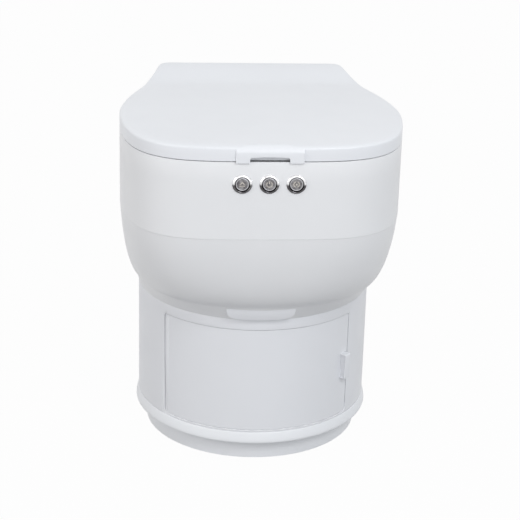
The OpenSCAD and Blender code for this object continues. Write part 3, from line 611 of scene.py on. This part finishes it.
def make_seat():
    rear, hole_half, hole_long = 122, 104, 122
    outer = [(x, min(y, rear)) for x, y in inset(outline, 9)]
    angles = [math.atan2(x, middle_y - y) for x, y in outer]
    hole = [(hole_half * math.sin(a), middle_y - hole_long * math.cos(a)) for a in angles]
    # The share of the way from the outside to the hole, and the height there
    profile = [(1, 465.2), (0.99, 463), (0.965, 461.4), (0.93, 461), (0.05, 461), (0.02, 461.3), (0.006, 462),
               (0, 463.2), (0, 469), (0.006, 470.6), (0.018, 471.5), (0.035, 472), (0.3, 472), (0.55, 472),
               (0.7, 471.8), (0.8, 471.4), (0.88, 470.8), (0.94, 469.9), (0.98, 468.6), (0.997, 467)]
    bm = bmesh.new()
    loft(bm, [at([mix(p, q, s) for p, q in zip(outer, hole)], z) for s, z in profile], closed=True)
    keep(bm, "seat_ring", "seat", "seat_white", ["seat"], 40)
    arm_reach, arm_middle, arm_half = -34.0, 0.8, 2.6

    def forwards(u, w):
        return (arm_reach, arm_middle + (math.copysign(arm_half, w) if abs(w) > 0.6 else 0.0)) if u < -0.5 else (u, w)
    bm = bmesh.new()
    for side in (-1, 1):
        hinge_eye(bm, side * 80, side * 94, 8, forwards)
    arms = keep(bm, "seat_hinge_arms", "seat", "seat_white", (), 30)
    add_bevel(arms, 0.6 * MM, 2, 40)


def make_funnel():
    # Height, half width, half length and the middle's y
    table = [(310, 56, 56, -20), (330, 62, 62, -23), (350, 72, 76, -27), (375, 84, 92, -32), (400, 96, 108, -36),
             (430, 108, 124, -39), (451, 116, 134, middle_y), (455, 118, 136, middle_y)]
    turns = [i * math.tau / 120 for i in range(120)]

    def oval(a, b, cy, z):
        return [mm(a * math.sin(t), cy - b * math.cos(t), z) for t in turns]

    def row(z, out=0.0):
        a, b, cy = (between(table, z, c) for c in (1, 2, 3))
        return oval(a + out, b + out, cy, z)
    zs = steps_between(455, 310, 40)
    inside = [row(z) for z in zs]
    outside = [row(z, 2.5) for z in reversed(zs) if z < 449]
    rim = [oval(a, a + 18, middle_y, z)
           for a, z in ((120.5, 450), (120.5, 453), (127, 453), (127, 454.2), (126.7, 454.7), (126, 455))]
    bm = bmesh.new()
    loft(bm, inside + outside + rim, closed=True)
    keep(bm, "inner_bowl", "toilet", "bowl_white", ["funnel"], 35)


# The round base, in millimetres and in degrees from the front towards the right
sheet_low, sheet_high = 45.2, neck_low
opening_low, opening_high, fillet = 49, 200, 5
corner_z = opening_low + fillet
hinge_radius, hinge_angle, door_radius = 160.0, -49.8, 164.3
hinge_x = hinge_radius * math.sin(math.radians(hinge_angle))
hinge_y = -hinge_radius * math.cos(math.radians(hinge_angle))
# The opening's hinge side slants back below slant_top, over the width of strip; the foot side runs out at strip_end
slant_top, slant_run, slant_depth = 150, 75, 1.5
strip, strip_end = 5.2, 16


def angle_at_x(x, radius=base_radius):
    return math.degrees(math.asin(x / radius))


def arc_degrees(length):
    """The angle that a length along the wall takes up."""
    return math.degrees(length / base_radius)


opening_left = angle_at_x(hinge_x - 7.6)
opening_right = angle_at_x(base_radius * math.sin(math.radians(50.1)) + 1.4)


def bent(angle, z, radius=base_radius):
    a = math.radians(angle)
    return mm(radius * math.sin(a), -radius * math.cos(a), z)


def angle_of(co):
    return math.degrees(math.atan2(co.x, -co.y))


def panel(bm, angles, heights, radius, around=False):
    """A grid bent round the vertical axis."""
    made = grid(bm, len(angles), len(heights))
    for v, i, j in made:
        v.co = bent(angles[i], heights[j], radius)
    if around:
        bmesh.ops.remove_doubles(bm, verts=[v for v, i, j in made], dist=1e-6)


def face_place(face):
    c = face.calc_center_median()
    return angle_of(c), c.z / MM


def corner_patch(bm, edge, side, beyond):
    """Remakes the sheet round a lower corner of the opening, with a rounded fillet."""
    wide = arc_degrees(fillet)

    def round_here(f):
        a, z = face_place(f)
        inward = side * (a - edge)
        return sheet_low < z and ((-beyond < inward < 0 and z < corner_z) or (0 < inward < wide and z < opening_low))
    bmesh.ops.delete(bm, geom=[f for f in bm.faces if round_here(f)], context="FACES")
    known = {tuple(round(c, 6) for c in v.co): v for v in bm.verts}

    def point(a, z):
        co = bent(a, z)
        return known.get(tuple(round(c, 6) for c in co)) or bm.verts.new(co)
    arc = []
    for i in range(9):
        t = math.radians(11.25 * i)
        arc.append(point(edge + side * wide * (1 - math.cos(t)), opening_low + fillet * (1 - math.sin(t))))
    outside = edge - side * beyond
    rim = [point(outside, corner_z), point(outside, opening_low), point(outside, sheet_low), point(edge, sheet_low),
           point(edge + side * wide, sheet_low)]
    rows = [(arc[0], arc[1], rim[1], rim[0]), (arc[4], rim[2], rim[1]), (arc[4], rim[3], rim[2]),
            (arc[7], arc[8], rim[4], rim[3])]
    rows += [(arc[i], arc[i + 1], rim[1]) for i in (1, 2, 3)] + [(arc[i], arc[i + 1], rim[3]) for i in (4, 5, 6)]
    for verts in rows:
        f = bm.faces.new(verts)
        f.normal_update()
        if f.normal.dot(f.calc_center_median()) < 0:
            f.normal_flip()


def draw_in(v, depth):
    """Moves a vert towards the base's axis."""
    r = math.hypot(v.co.x, v.co.y)
    v.co.x *= (r - depth * MM) / r
    v.co.y *= (r - depth * MM) / r


def slant(z):
    """How far the opening's hinge side has slanted back at a height, from 0 to 1."""
    return unit((slant_top - z) / slant_run)


def fall_back(along, z):
    """How deep the opening's edge lies behind the wall, at a distance along it from the hinge side."""
    share = 1.0 if along < strip else max(0.0, (strip_end - along) / (strip_end - fillet))
    return slant_depth * slant(z) * share


def round_edges(bm, edges, width, segments=3):
    bmesh.ops.bevel(bm, geom=[e for e in edges if e.is_valid], offset=width * MM, offset_type="OFFSET", affect="EDGES",
                    segments=segments, profile=0.5, material=-1, clamp_overlap=False)


def make_base_wall():
    beyond_left, beyond_right = 1.1, 1.5
    vents, vent_half, vent_low, vent_high = [i * 3.2 for i in range(-4, 5)], 0.695, 108, 150
    inlet_half, inlet_low, inlet_high = 5.22, 64, 86
    corner = arc_degrees(fillet)
    marks = [opening_left, opening_left - beyond_left, opening_left - 4, opening_left + corner, opening_left + 4]
    marks += [opening_right, opening_right - 4, opening_right + beyond_right, opening_right - corner]
    marks += [180 + v + s * vent_half for v in vents for s in (-1, 1)]
    marks += [180 - inlet_half, 180 + inlet_half]
    marks = [(m + 180) % 360 - 180 for m in marks]
    angles = sorted(marks + [a for a in range(-180, 180, 2) if all(abs(a - m) > 0.9 for m in marks)])
    angles = angles + [angles[0] + 360]
    heights = [sheet_low, opening_low, corner_z, inlet_low, 75, inlet_high, 97, vent_low, 129, vent_high, 165, 180, 193,
               opening_high, 207, sheet_high]
    bm = bmesh.new()
    panel(bm, angles, heights, base_radius, around=True)

    def open_here(f):
        a, z = face_place(f)
        if opening_left < a < opening_right and opening_low < z < opening_high:
            return True
        if abs(abs(a) - 180) < inlet_half and inlet_low < z < inlet_high:
            return True
        return vent_low < z < vent_high and any(abs((a % 360) - 180 - v) < vent_half for v in vents)
    bmesh.ops.delete(bm, geom=[f for f in bm.faces if open_here(f)], context="FACES")
    corner_patch(bm, opening_left, 1, beyond_left)
    corner_patch(bm, opening_right, -1, beyond_right)

    rims = [e for e in bm.edges if e.is_boundary]

    def in_opening(e):
        middle = (e.verts[0].co + e.verts[1].co) * 0.5
        return (opening_left - 0.05 < angle_of(middle) < opening_right + 0.05
                and opening_low - 0.5 < middle.z / MM < opening_high + 0.5)
    around_door = [e for e in rims if in_opening(e)]
    top_edges = [e for e in around_door if min(v.co.z for v in e.verts) / MM >= opening_high - 0.5]
    frame_edges = [e for e in around_door if e not in top_edges]
    small_edges = [e for e in rims if e not in around_door]

    # The frame falls back into a slanting strip on its hinge side, deeper towards the foot
    for v in bm.verts:
        along = math.radians(angle_of(v.co) - opening_left) * base_radius
        z = v.co.z / MM
        if -0.2 < along < strip_end and opening_low - 0.1 < z < slant_top and (along < strip or z < opening_low + 0.1):
            draw_in(v, fall_back(along, z))
    for v in extruded(bm, list(bm.faces)):
        draw_in(v, wall)
    round_edges(bm, frame_edges, 1.1)
    round_edges(bm, top_edges, 0.4)
    round_edges(bm, small_edges, 0.5, 2)
    turned(bm, [(140, 212.7), (162.2, 212.7), (162.2, 214.9), (140, 214.9)], 120)
    # The lug that carries the upper door pin
    block(bm, (13, 12.6, 4.3), (0, -156.3, 202.4), hinge_angle)
    keep(bm, "base_wall", "toilet", "base_white", ["base_shell"], 40)


def make_frame_trim():
    """The chamfer that grows down the frame's hinge side and runs on under the door, in a whiter plastic that paints a
    highlight along the frame's edge.
    """
    outer_radius, full_width, foot_width = base_radius + 0.12, 2.1, 2.1 * 0.55
    # Distance along the wall, height, and share of the full width
    rows = [(-0.02, z, (158 - z) / 95) for z in (158, 150, 140, 130, 118, 106, 94, 82, 70, 62)]
    rows += [(fillet - fillet * math.cos(math.radians(a)), corner_z - fillet * math.sin(math.radians(a)), 1.0)
             for a in (0, 15, 30, 45, 60, 75, 90)]
    rows += [(u, opening_low, 1.0) for u in range(10, 284, 6)]
    bm = bmesh.new()
    for v, i, j in grid(bm, len(rows), 3):
        along, z, share = rows[i]
        if z >= corner_z:
            aside, under, wide = -1, 0, full_width * min(1.0, share)
        elif along < fillet:
            aside, under, wide = along - fillet, z - corner_z, foot_width
        else:
            aside, under, wide = 0, -1, foot_width
        size = math.hypot(aside, under)
        step = (0.0, 0.55, 1.0)[j] * wide
        radius = outer_radius - fall_back(along, z) * (1 - step / 3.2) - (0.7, 0.15, 0.0)[j]
        v.co = bent(opening_left + arc_degrees(along + step * aside / size), z + step * under / size, radius)
    face_outward(bm)
    piece = keep(bm, "door_frame_trim", "toilet", "frame_painted_highlight", (), 40, outward=False)
    add_wall(piece, 0.5 * MM, even=False)


def turned(bm, profile, steps, axis="Z", centre=(0, 0)):
    """Spins a profile of (radius, height) round a vertical axis, or round a line along Y."""
    def place(side, along):
        return mm(side, centre[1], along) if axis == "Z" else mm(side, along, centre[1])
    verts = [bm.verts.new(place(centre[0] + r, h)) for r, h in profile]
    edges = [bm.edges.new((a, b)) for a, b in zip(verts, verts[1:])]
    if profile[0][0] > 0:
        edges.append(bm.edges.new((verts[-1], verts[0])))
    bmesh.ops.spin(bm, geom=verts + edges, cent=place(centre[0], 0), dvec=Vector((0, 0, 0)), angle=math.tau,
                   axis=Vector((0, 0, 1)) if axis == "Z" else Vector((0, 1, 0)), steps=steps, use_merge=True,
                   use_duplicate=False)
    bmesh.ops.remove_doubles(bm, verts=bm.verts, dist=1e-7)


def make_foot_ring():
    skirt = [(138, 7.1), (151, 7.1), (151, 0.9), (151.4, 0.5), (152.6, 0.5), (153.1, 1.0), (153.1, 26.4), (153.6, 28),
             (155, 29.2), (162.6, 29.2), (164, 29.5)]
    bead = [(166.4, 29.5), (167.5, 29.8), (168.2, 30.4), (168.5, 31.2), (168.6, 32.2), (168.55, 33.5), (168.2, 35.5),
            (167.6, 38), (166.95, 40.4), (166.35, 42.4), (165.85, 43.9), (165.5, 44.9), (165.2, 45.3)]
    inside = [(165, 45.4), (162, 45.4), (155, 46), (158, 42), (158, 35), (150, 31), (150, 10), (138, 10)]
    bm = bmesh.new()
    turned(bm, skirt + bead + inside, 180)
    keep(bm, "base_foot_ring", "toilet", "foot_white", (), 40)


def make_door():
    left = hinge_x - 6.5
    angles = [angle_at_x(left, door_radius), hinge_angle, -47.8] + list(range(-46, 48, 2)) + [48.4, 50.6]
    heights = [49.4, 56, 80, 100, 122.5, 145, 165, 185, 192.5, 199.4]
    bm = bmesh.new()
    panel(bm, angles, heights, door_radius)
    for v in bm.verts:
        if v.co.x < (hinge_x - 3) * MM:
            z = v.co.z / MM
            v.co = bent(angle_at_x(left + slant(z), door_radius), z, door_radius)
    corners = [v for v in bm.verts if v.is_boundary and len(v.link_edges) == 2]
    for verts, size in (([v for v in corners if v.co.x > 0], 3.4), ([v for v in corners if v.co.x < 0], 2.4)):
        bmesh.ops.bevel(bm, geom=verts, offset=size * MM, affect="VERTICES", segments=6, profile=0.5, material=-1)
    face_outward(bm)
    leaf = keep(bm, "door_leaf", "door", "door_white", ["base_door"], 40, outward=False)
    add_wall(leaf, wall * MM)
    add_bevel(leaf, 0.4 * MM, 3, 50)

    low, high, bore_r, r = 52.3, 196.2, 1.55, 4.7
    bm = bmesh.new()
    turned(bm, [(bore_r, low), (r - 1.4, low), (r - 0.5, low + 0.5), (r, low + 1.6), (r, high - 1.6),
                (r - 0.5, high - 0.5), (r - 1.4, high), (bore_r, high)], 48, centre=(hinge_x, hinge_y))
    keep(bm, "door_hinge_knuckle", "door", "door_white", (), 40)

    bm = bmesh.new()
    for z0 in (52.0, 192.5):
        panel(bm, list(range(-40, 41, 2)), [z0, z0 + 3], 162.2)
    ribs = keep(bm, "door_stiffening_ribs", "door", "door_white", (), 40, outward=False)
    add_wall(ribs, 5.2 * MM)

    bm = bmesh.new()
    for a in (-26, 0, 26):
        block(bm, (2.5, 5.2, 141), (0, -159.6, 124), a)
    uprights = keep(bm, "door_upright_ribs", "door", "door_white", (), 40)
    add_bevel(uprights, 0.5 * MM, 2, 40)


def make_door_pull():
    depth, front_y = 10.2, -(base_radius + 8.5)
    bm = bmesh.new()
    block(bm, (12.2, depth, 36.6), (0, front_y + depth / 2, 123.8))

    def in_front(v):
        return v.co.y < (front_y + 0.1) * MM

    def sharp(e):
        return e.calc_face_angle(0) > 0.9
    top_front = [e for e in bm.edges if all(in_front(v) and v.co.z > 0.14 for v in e.verts)]
    round_edges(bm, top_front, 2.2, 4)
    front = [e for e in bm.edges if all(in_front(v) for v in e.verts) and sharp(e)]
    round_edges(bm, front, 1.1, 4)
    along_depth = [e for e in bm.edges if sharp(e) and abs(e.verts[0].co.y - e.verts[1].co.y) > 0.003]
    round_edges(bm, along_depth, 0.7, 3)
    # A shallow finger recess in the side that faces the door
    bm.faces.ensure_lookup_table()
    side = max((f for f in bm.faces if f.normal.x < -0.99), key=lambda f: f.calc_area())
    bmesh.ops.inset_region(bm, faces=[side], thickness=0.45 * MM, depth=0.0)
    bmesh.ops.inset_region(bm, faces=[side], thickness=0.3 * MM, depth=-1.7 * MM)
    turn(bm, bm.verts, 47.3)
    keep(bm, "door_pull_block", "door", "door_white", ["door_pull"], 35)


def make_front_tab():
    """A slip-on plate in front of the collar, narrower towards its lower edge."""
    # The lower edge's height over the share of the half width
    low = [(0.0, 218.2), (0.3, 218.3), (0.55, 218.7), (0.72, 219.4), (0.85, 220.9), (0.93, 222.6), (0.98, 224.6),
           (1.0, 227)]
    top, half, narrowing, shift, steps = 235.4, 47.2, 2.6, -1.7, 48
    front, bow, flare_top, flare = -177.2, 0.0016, 233, 4.5
    columns = [math.sin(math.pi / 2 * (-1 + 2 * i / steps)) for i in range(steps + 1)]
    rows = [0, 0.06, 0.2, 0.45, 0.7, 1.0]
    bm = bmesh.new()
    for v, i, j in grid(bm, len(columns), len(rows)):
        low_here = between(low, abs(columns[i]))
        z = low_here + rows[j] * (top - low_here)
        x = columns[i] * (half - narrowing * min(1.0, (top - z) / 13.4)) + shift
        v.co = mm(x, front + bow * x * x + flare * max(0.0, (flare_top - z) / 15) ** 1.5, z)
    # The back lies about 1 mm inside the collar's face
    for v in extruded(bm, list(bm.faces)):
        x, z = v.co.x / MM, v.co.z / MM
        reach = math.sqrt(base_radius ** 2 - x * x)
        v.co.y = -(reach + between(neck_table, z) * (-face_y - reach) * 0.985 - 1.0) * MM
    piece = keep(bm, "front_tab_cover", "toilet", "base_white", ["front_tab"], 40)
    add_bevel(piece, 0.8 * MM, 3, 50)


def make_grip():
    """A lip on the lid's front, with a low arch that wraps onto the lid's top and a finger notch below."""
    half, front, low, shoulder, notch_top = 43.5, -227.0, 456.0, 469, 464.2
    arch_depth, arch_height = 14.5, 9.6
    columns = [-half, -43.0, -41, -37, -32, -28, -slot_half, -25.1, -24.2, -23.2, -20, -15, -10, -5]
    columns = columns + [0] + [-x for x in reversed(columns)]
    heights = [low, 458.5, 460.8, 462.6, notch_top, 466.5, shoulder]
    parts = [0.08, 0.16, 0.25, 0.34, 0.43, 0.52, 0.61, 0.7, 0.8, 0.9, 1.0]
    notch_side = {slot_half: 460.8, 25.1: 461.9, 24.2: 462.7}
    bm = bmesh.new()
    backs = {}
    for v, i, j in grid(bm, len(columns), len(heights) + len(parts)):
        x = columns[i]
        edge = front_at_x(abs(x))[1]
        if j < len(heights):
            z = heights[j]
            if j == 4 and abs(x) <= slot_half:
                z = notch_side.get(abs(x), notch_top - 1.1 * (x / 23.2) ** 2)
            elif j < 4 and abs(x) == slot_half:
                z = low + 4.8 * j / 4
            v.co = mm(x, front, z)
            backs[v] = mm(x, edge - 0.1 if z < 458.4 else edge + 0.25, z)
        else:
            a = math.radians(parts[j - len(heights)] * (30 + 64 * (1 - (x / half) ** 2) ** 0.8))
            y = front + arch_depth * (1 - math.cos(a))
            v.co = mm(x, y, shoulder + arch_height * math.sin(min(a, math.pi / 2)))
            back = max(y, edge + 0.5)
            backs[v] = mm(x, back, between(lid_edge, back - edge) - 0.35)
            if backs[v].z > v.co.z - 0.0001:
                backs[v] = mm(x, edge + 0.25, v.co.z / MM)
    gone = [f for f in bm.faces if abs(f.calc_center_median().x) < slot_half * MM
            and max(v.co.z for v in f.verts) < (notch_top + 0.05) * MM]
    bmesh.ops.delete(bm, geom=gone, context="FACES")
    places = {tuple(round(c, 7) for c in v.co): backs[v] for v in backs if v.is_valid}
    rims = [e for e in bm.edges if e.is_boundary]
    for v in extruded(bm, list(bm.faces)):
        v.co = places[tuple(round(c, 7) for c in v.co)]
    bmesh.ops.recalc_face_normals(bm, faces=bm.faces)
    round_edges(bm, rims, 0.45, 3)
    keep(bm, "lid_front_grip", "lid", "lid_white", ["lid_grip"], 40)


# Buttons
def turned_button(bm, i, profile):
    """Spins a profile of (radius, depth behind the housing's face) round the axis of one button."""
    turned(bm, [(r, face_y + depth) for r, depth in profile], 72, "Y", (i * pitch, button_height))


def make_bezels():
    rim = [(12.75, 0), (12.75, -0.5), (12.4, -1.2), (11.4, -2.05), (10.7, -2.4), (10.3, -2.48), (10.0, -2.3),
           (9.5, -1.2), (9.2, -0.4), (9.2, 16), (0.001, 16), (0.001, 24), (11, 24), (11, 0)]
    bm = bmesh.new()
    for i in (-1, 0, 1):
        part = bmesh.new()
        turned_button(part, i, rim)
        held = mesh_of(part, "bezel_part")
        bm.from_mesh(held)
        bpy.data.meshes.remove(held)
        for x in (-4, 4):
            block(bm, (2, 7, 6), (i * pitch + x, face_y + 26.6, button_height))
    keep(bm, "button_bezels", "toilet", "button_metal", ["button_bodies"], 30)


def make_button_face(name, body, node_name, i, mark):
    bm = bmesh.new()
    turned_button(bm, i, [(0, -1.15), (6.9, -1.15), (7.1, -1.0), (7.8, -0.7), (8.2, -0.4), (8.9, -0.1), (9.13, 0.4),
                          (9.13, 12), (0, 12)])
    keep(bm, name, body, "button_face", [node_name], 30)
    bm = bmesh.new()
    turned_button(bm, i, [(7.2, -0.9), (7.2, -1.4), (7.4, -1.75), (7.75, -1.85), (8.15, -1.7), (8.3, -1.3),
                          (8.3, -0.5)])
    keep(bm, name + "_ring", body, "steel", (), 30)
    # Where the relief marks start, in front of the housing's face, and how far they stand up
    foot, relief = 1.1, 0.35
    bm = bmesh.new()
    for points in mark:
        face = bm.faces.new([bm.verts.new(mm(i * pitch + u, face_y - foot, button_height + w)) for u, w in points])
        bmesh.ops.translate(bm, verts=extruded(bm, [face]), vec=mm(0, -relief, 0))
    keep(bm, name + "_relief", body, "worn_relief", (), 30)


def bar(x0, x1, z0, z1):
    return [(x0, z0), (x1, z0), (x1, z1), (x0, z1)]


def arc_band(a0, a1):
    """A curved bar of a mark, from one angle to another."""
    inner, outer = 2.9, 4.2
    angles = [math.radians(a) for a in steps_between(a0, a1, 14)]
    return [(r * math.sin(a), r * math.cos(a)) for r, run in ((outer, angles), (inner, angles[::-1])) for a in run]


def make_buttons():
    make_bezels()
    arrow = [(-3.6, -0.2), (0, 3.4), (3.6, -0.2), (1.6, -0.2), (0, 1.4), (-1.6, -0.2)]
    make_button_face("button_face_left", "button_left", "button_cap_left", -1, [arrow, bar(-3.6, 3.6, -3.0, -1.7)])
    make_button_face("button_face_centre", "button_centre", "button_cap_centre", 0,
                     [arc_band(40, 320), bar(-0.65, 0.65, 0.6, 4.6)])
    make_button_face("button_face_right", "button_right", "button_cap_right", 1,
                     [arc_band(15, 165), arc_band(195, 345), bar(-1.2, 1.2, -1.2, 1.2)])


def dress_frame_nodes():
    """Gives every CAD node that stays its finish from the record."""
    slots = {s["node"]: s["material_slot"] for s in frame["record"]["subparts"]}
    for name, obj in frame["nodes"].items():
        for slot in obj.material_slots:
            slot.material = finishes[slots[name]]


def ray_white(tree, lit, white, strength):
    """Shows white to the camera and in reflections, and lit to everything else."""
    path = node(tree, "ShaderNodeLightPath", -800)
    seen = path.outputs["Is Camera Ray"]
    for kind in ("Is Glossy Ray", "Is Transmission Ray"):
        either = node(tree, "ShaderNodeMath", -600, operation="MAXIMUM")
        tree.links.new(seen, either.inputs[0])
        tree.links.new(path.outputs[kind], either.inputs[1])
        seen = either.outputs[0]
    share = node(tree, "ShaderNodeMath", -300, operation="MULTIPLY")
    share.inputs[1].default_value = strength
    mixed = node(tree, "ShaderNodeMixShader", -100)
    for source, socket in ((seen, share.inputs[0]), (share.outputs[0], mixed.inputs[0]), (lit, mixed.inputs[1]),
                           (white, mixed.inputs[2])):
        tree.links.new(source, socket)
    return mixed.outputs[0]


# Name, place, aim, size, power and colour of each lamp
softboxes = (("key_softbox", (0.95, -2.05, 2.2), (0, 0, 0.3), 0.9, 21.5, (0.965, 0.98, 1.0)),
             ("right_softbox", (1.3, -2.5, 1.3), (0, 0, 0.25), 1.3, 6.4, (0.93, 0.965, 1.0)),
             ("left_softbox", (-2.2, -1.5, 1.3), (0, 0, 0.25), 1.3, 16.6, (1.0, 0.97, 0.95)),
             ("front_softbox", (0, -2.9, 0.9), (0, 0, 0.25), 1.6, 4.4, (0.96, 0.98, 1.0)))
sky_colour, sky_strength = (0.975, 0.99, 1.0, 1), 0.68
# The floor's own grey, and how much of what the camera sees of it is plain white
floor_grey, floor_white = (0.4, 0.4, 0.405, 1), 0.975


def set_up_studio():
    scene = bpy.context.scene
    scene.view_settings.view_transform = "Standard"
    world = bpy.data.worlds.new("studio_air")
    world.use_nodes = True
    scene.world = world
    tree = world.node_tree
    lit = tree.nodes["Background"]
    lit.inputs["Color"].default_value = sky_colour
    lit.inputs["Strength"].default_value = sky_strength
    white = node(tree, "ShaderNodeBackground", -300, Color=(1, 1, 1, 1))
    tree.links.new(ray_white(tree, lit.outputs[0], white.outputs[0], 1.0), tree.nodes["World Output"].inputs["Surface"])

    paper, tree, shader, _ = new_material("floor_paper", specular=0.0)
    shader.inputs["Base Color"].default_value = floor_grey
    shader.inputs["Roughness"].default_value = 0.9
    glow = node(tree, "ShaderNodeEmission", -300, Strength=1.0)
    tree.links.new(ray_white(tree, shader.outputs[0], glow.outputs[0], floor_white),
                   tree.nodes["Material Output"].inputs["Surface"])
    bm = bmesh.new()
    bmesh.ops.create_grid(bm, x_segments=1, y_segments=1, size=6.0)
    floor = new_object("studio_floor", mesh_of(bm, "studio_floor"))
    floor.data.materials.append(paper)

    for name, place, aim, size, power, colour in softboxes:
        lamp = bpy.data.lights.new(name, "AREA")
        lamp.size, lamp.energy, lamp.color = size, power, colour
        obj = new_object(name, lamp)
        obj.location = place
        obj.rotation_euler = (Vector(aim) - Vector(place)).to_track_quat("-Z", "Y").to_euler()


set_up_camera()
dress_frame_nodes()
make_housing()
make_collar()
make_lid()
make_finger_pocket()
make_lid_ears()
make_seat()
make_funnel()
make_base_wall()
make_frame_trim()
make_foot_ring()
make_door()
make_door_pull()
make_front_tab()
make_grip()
make_buttons()
set_up_studio()
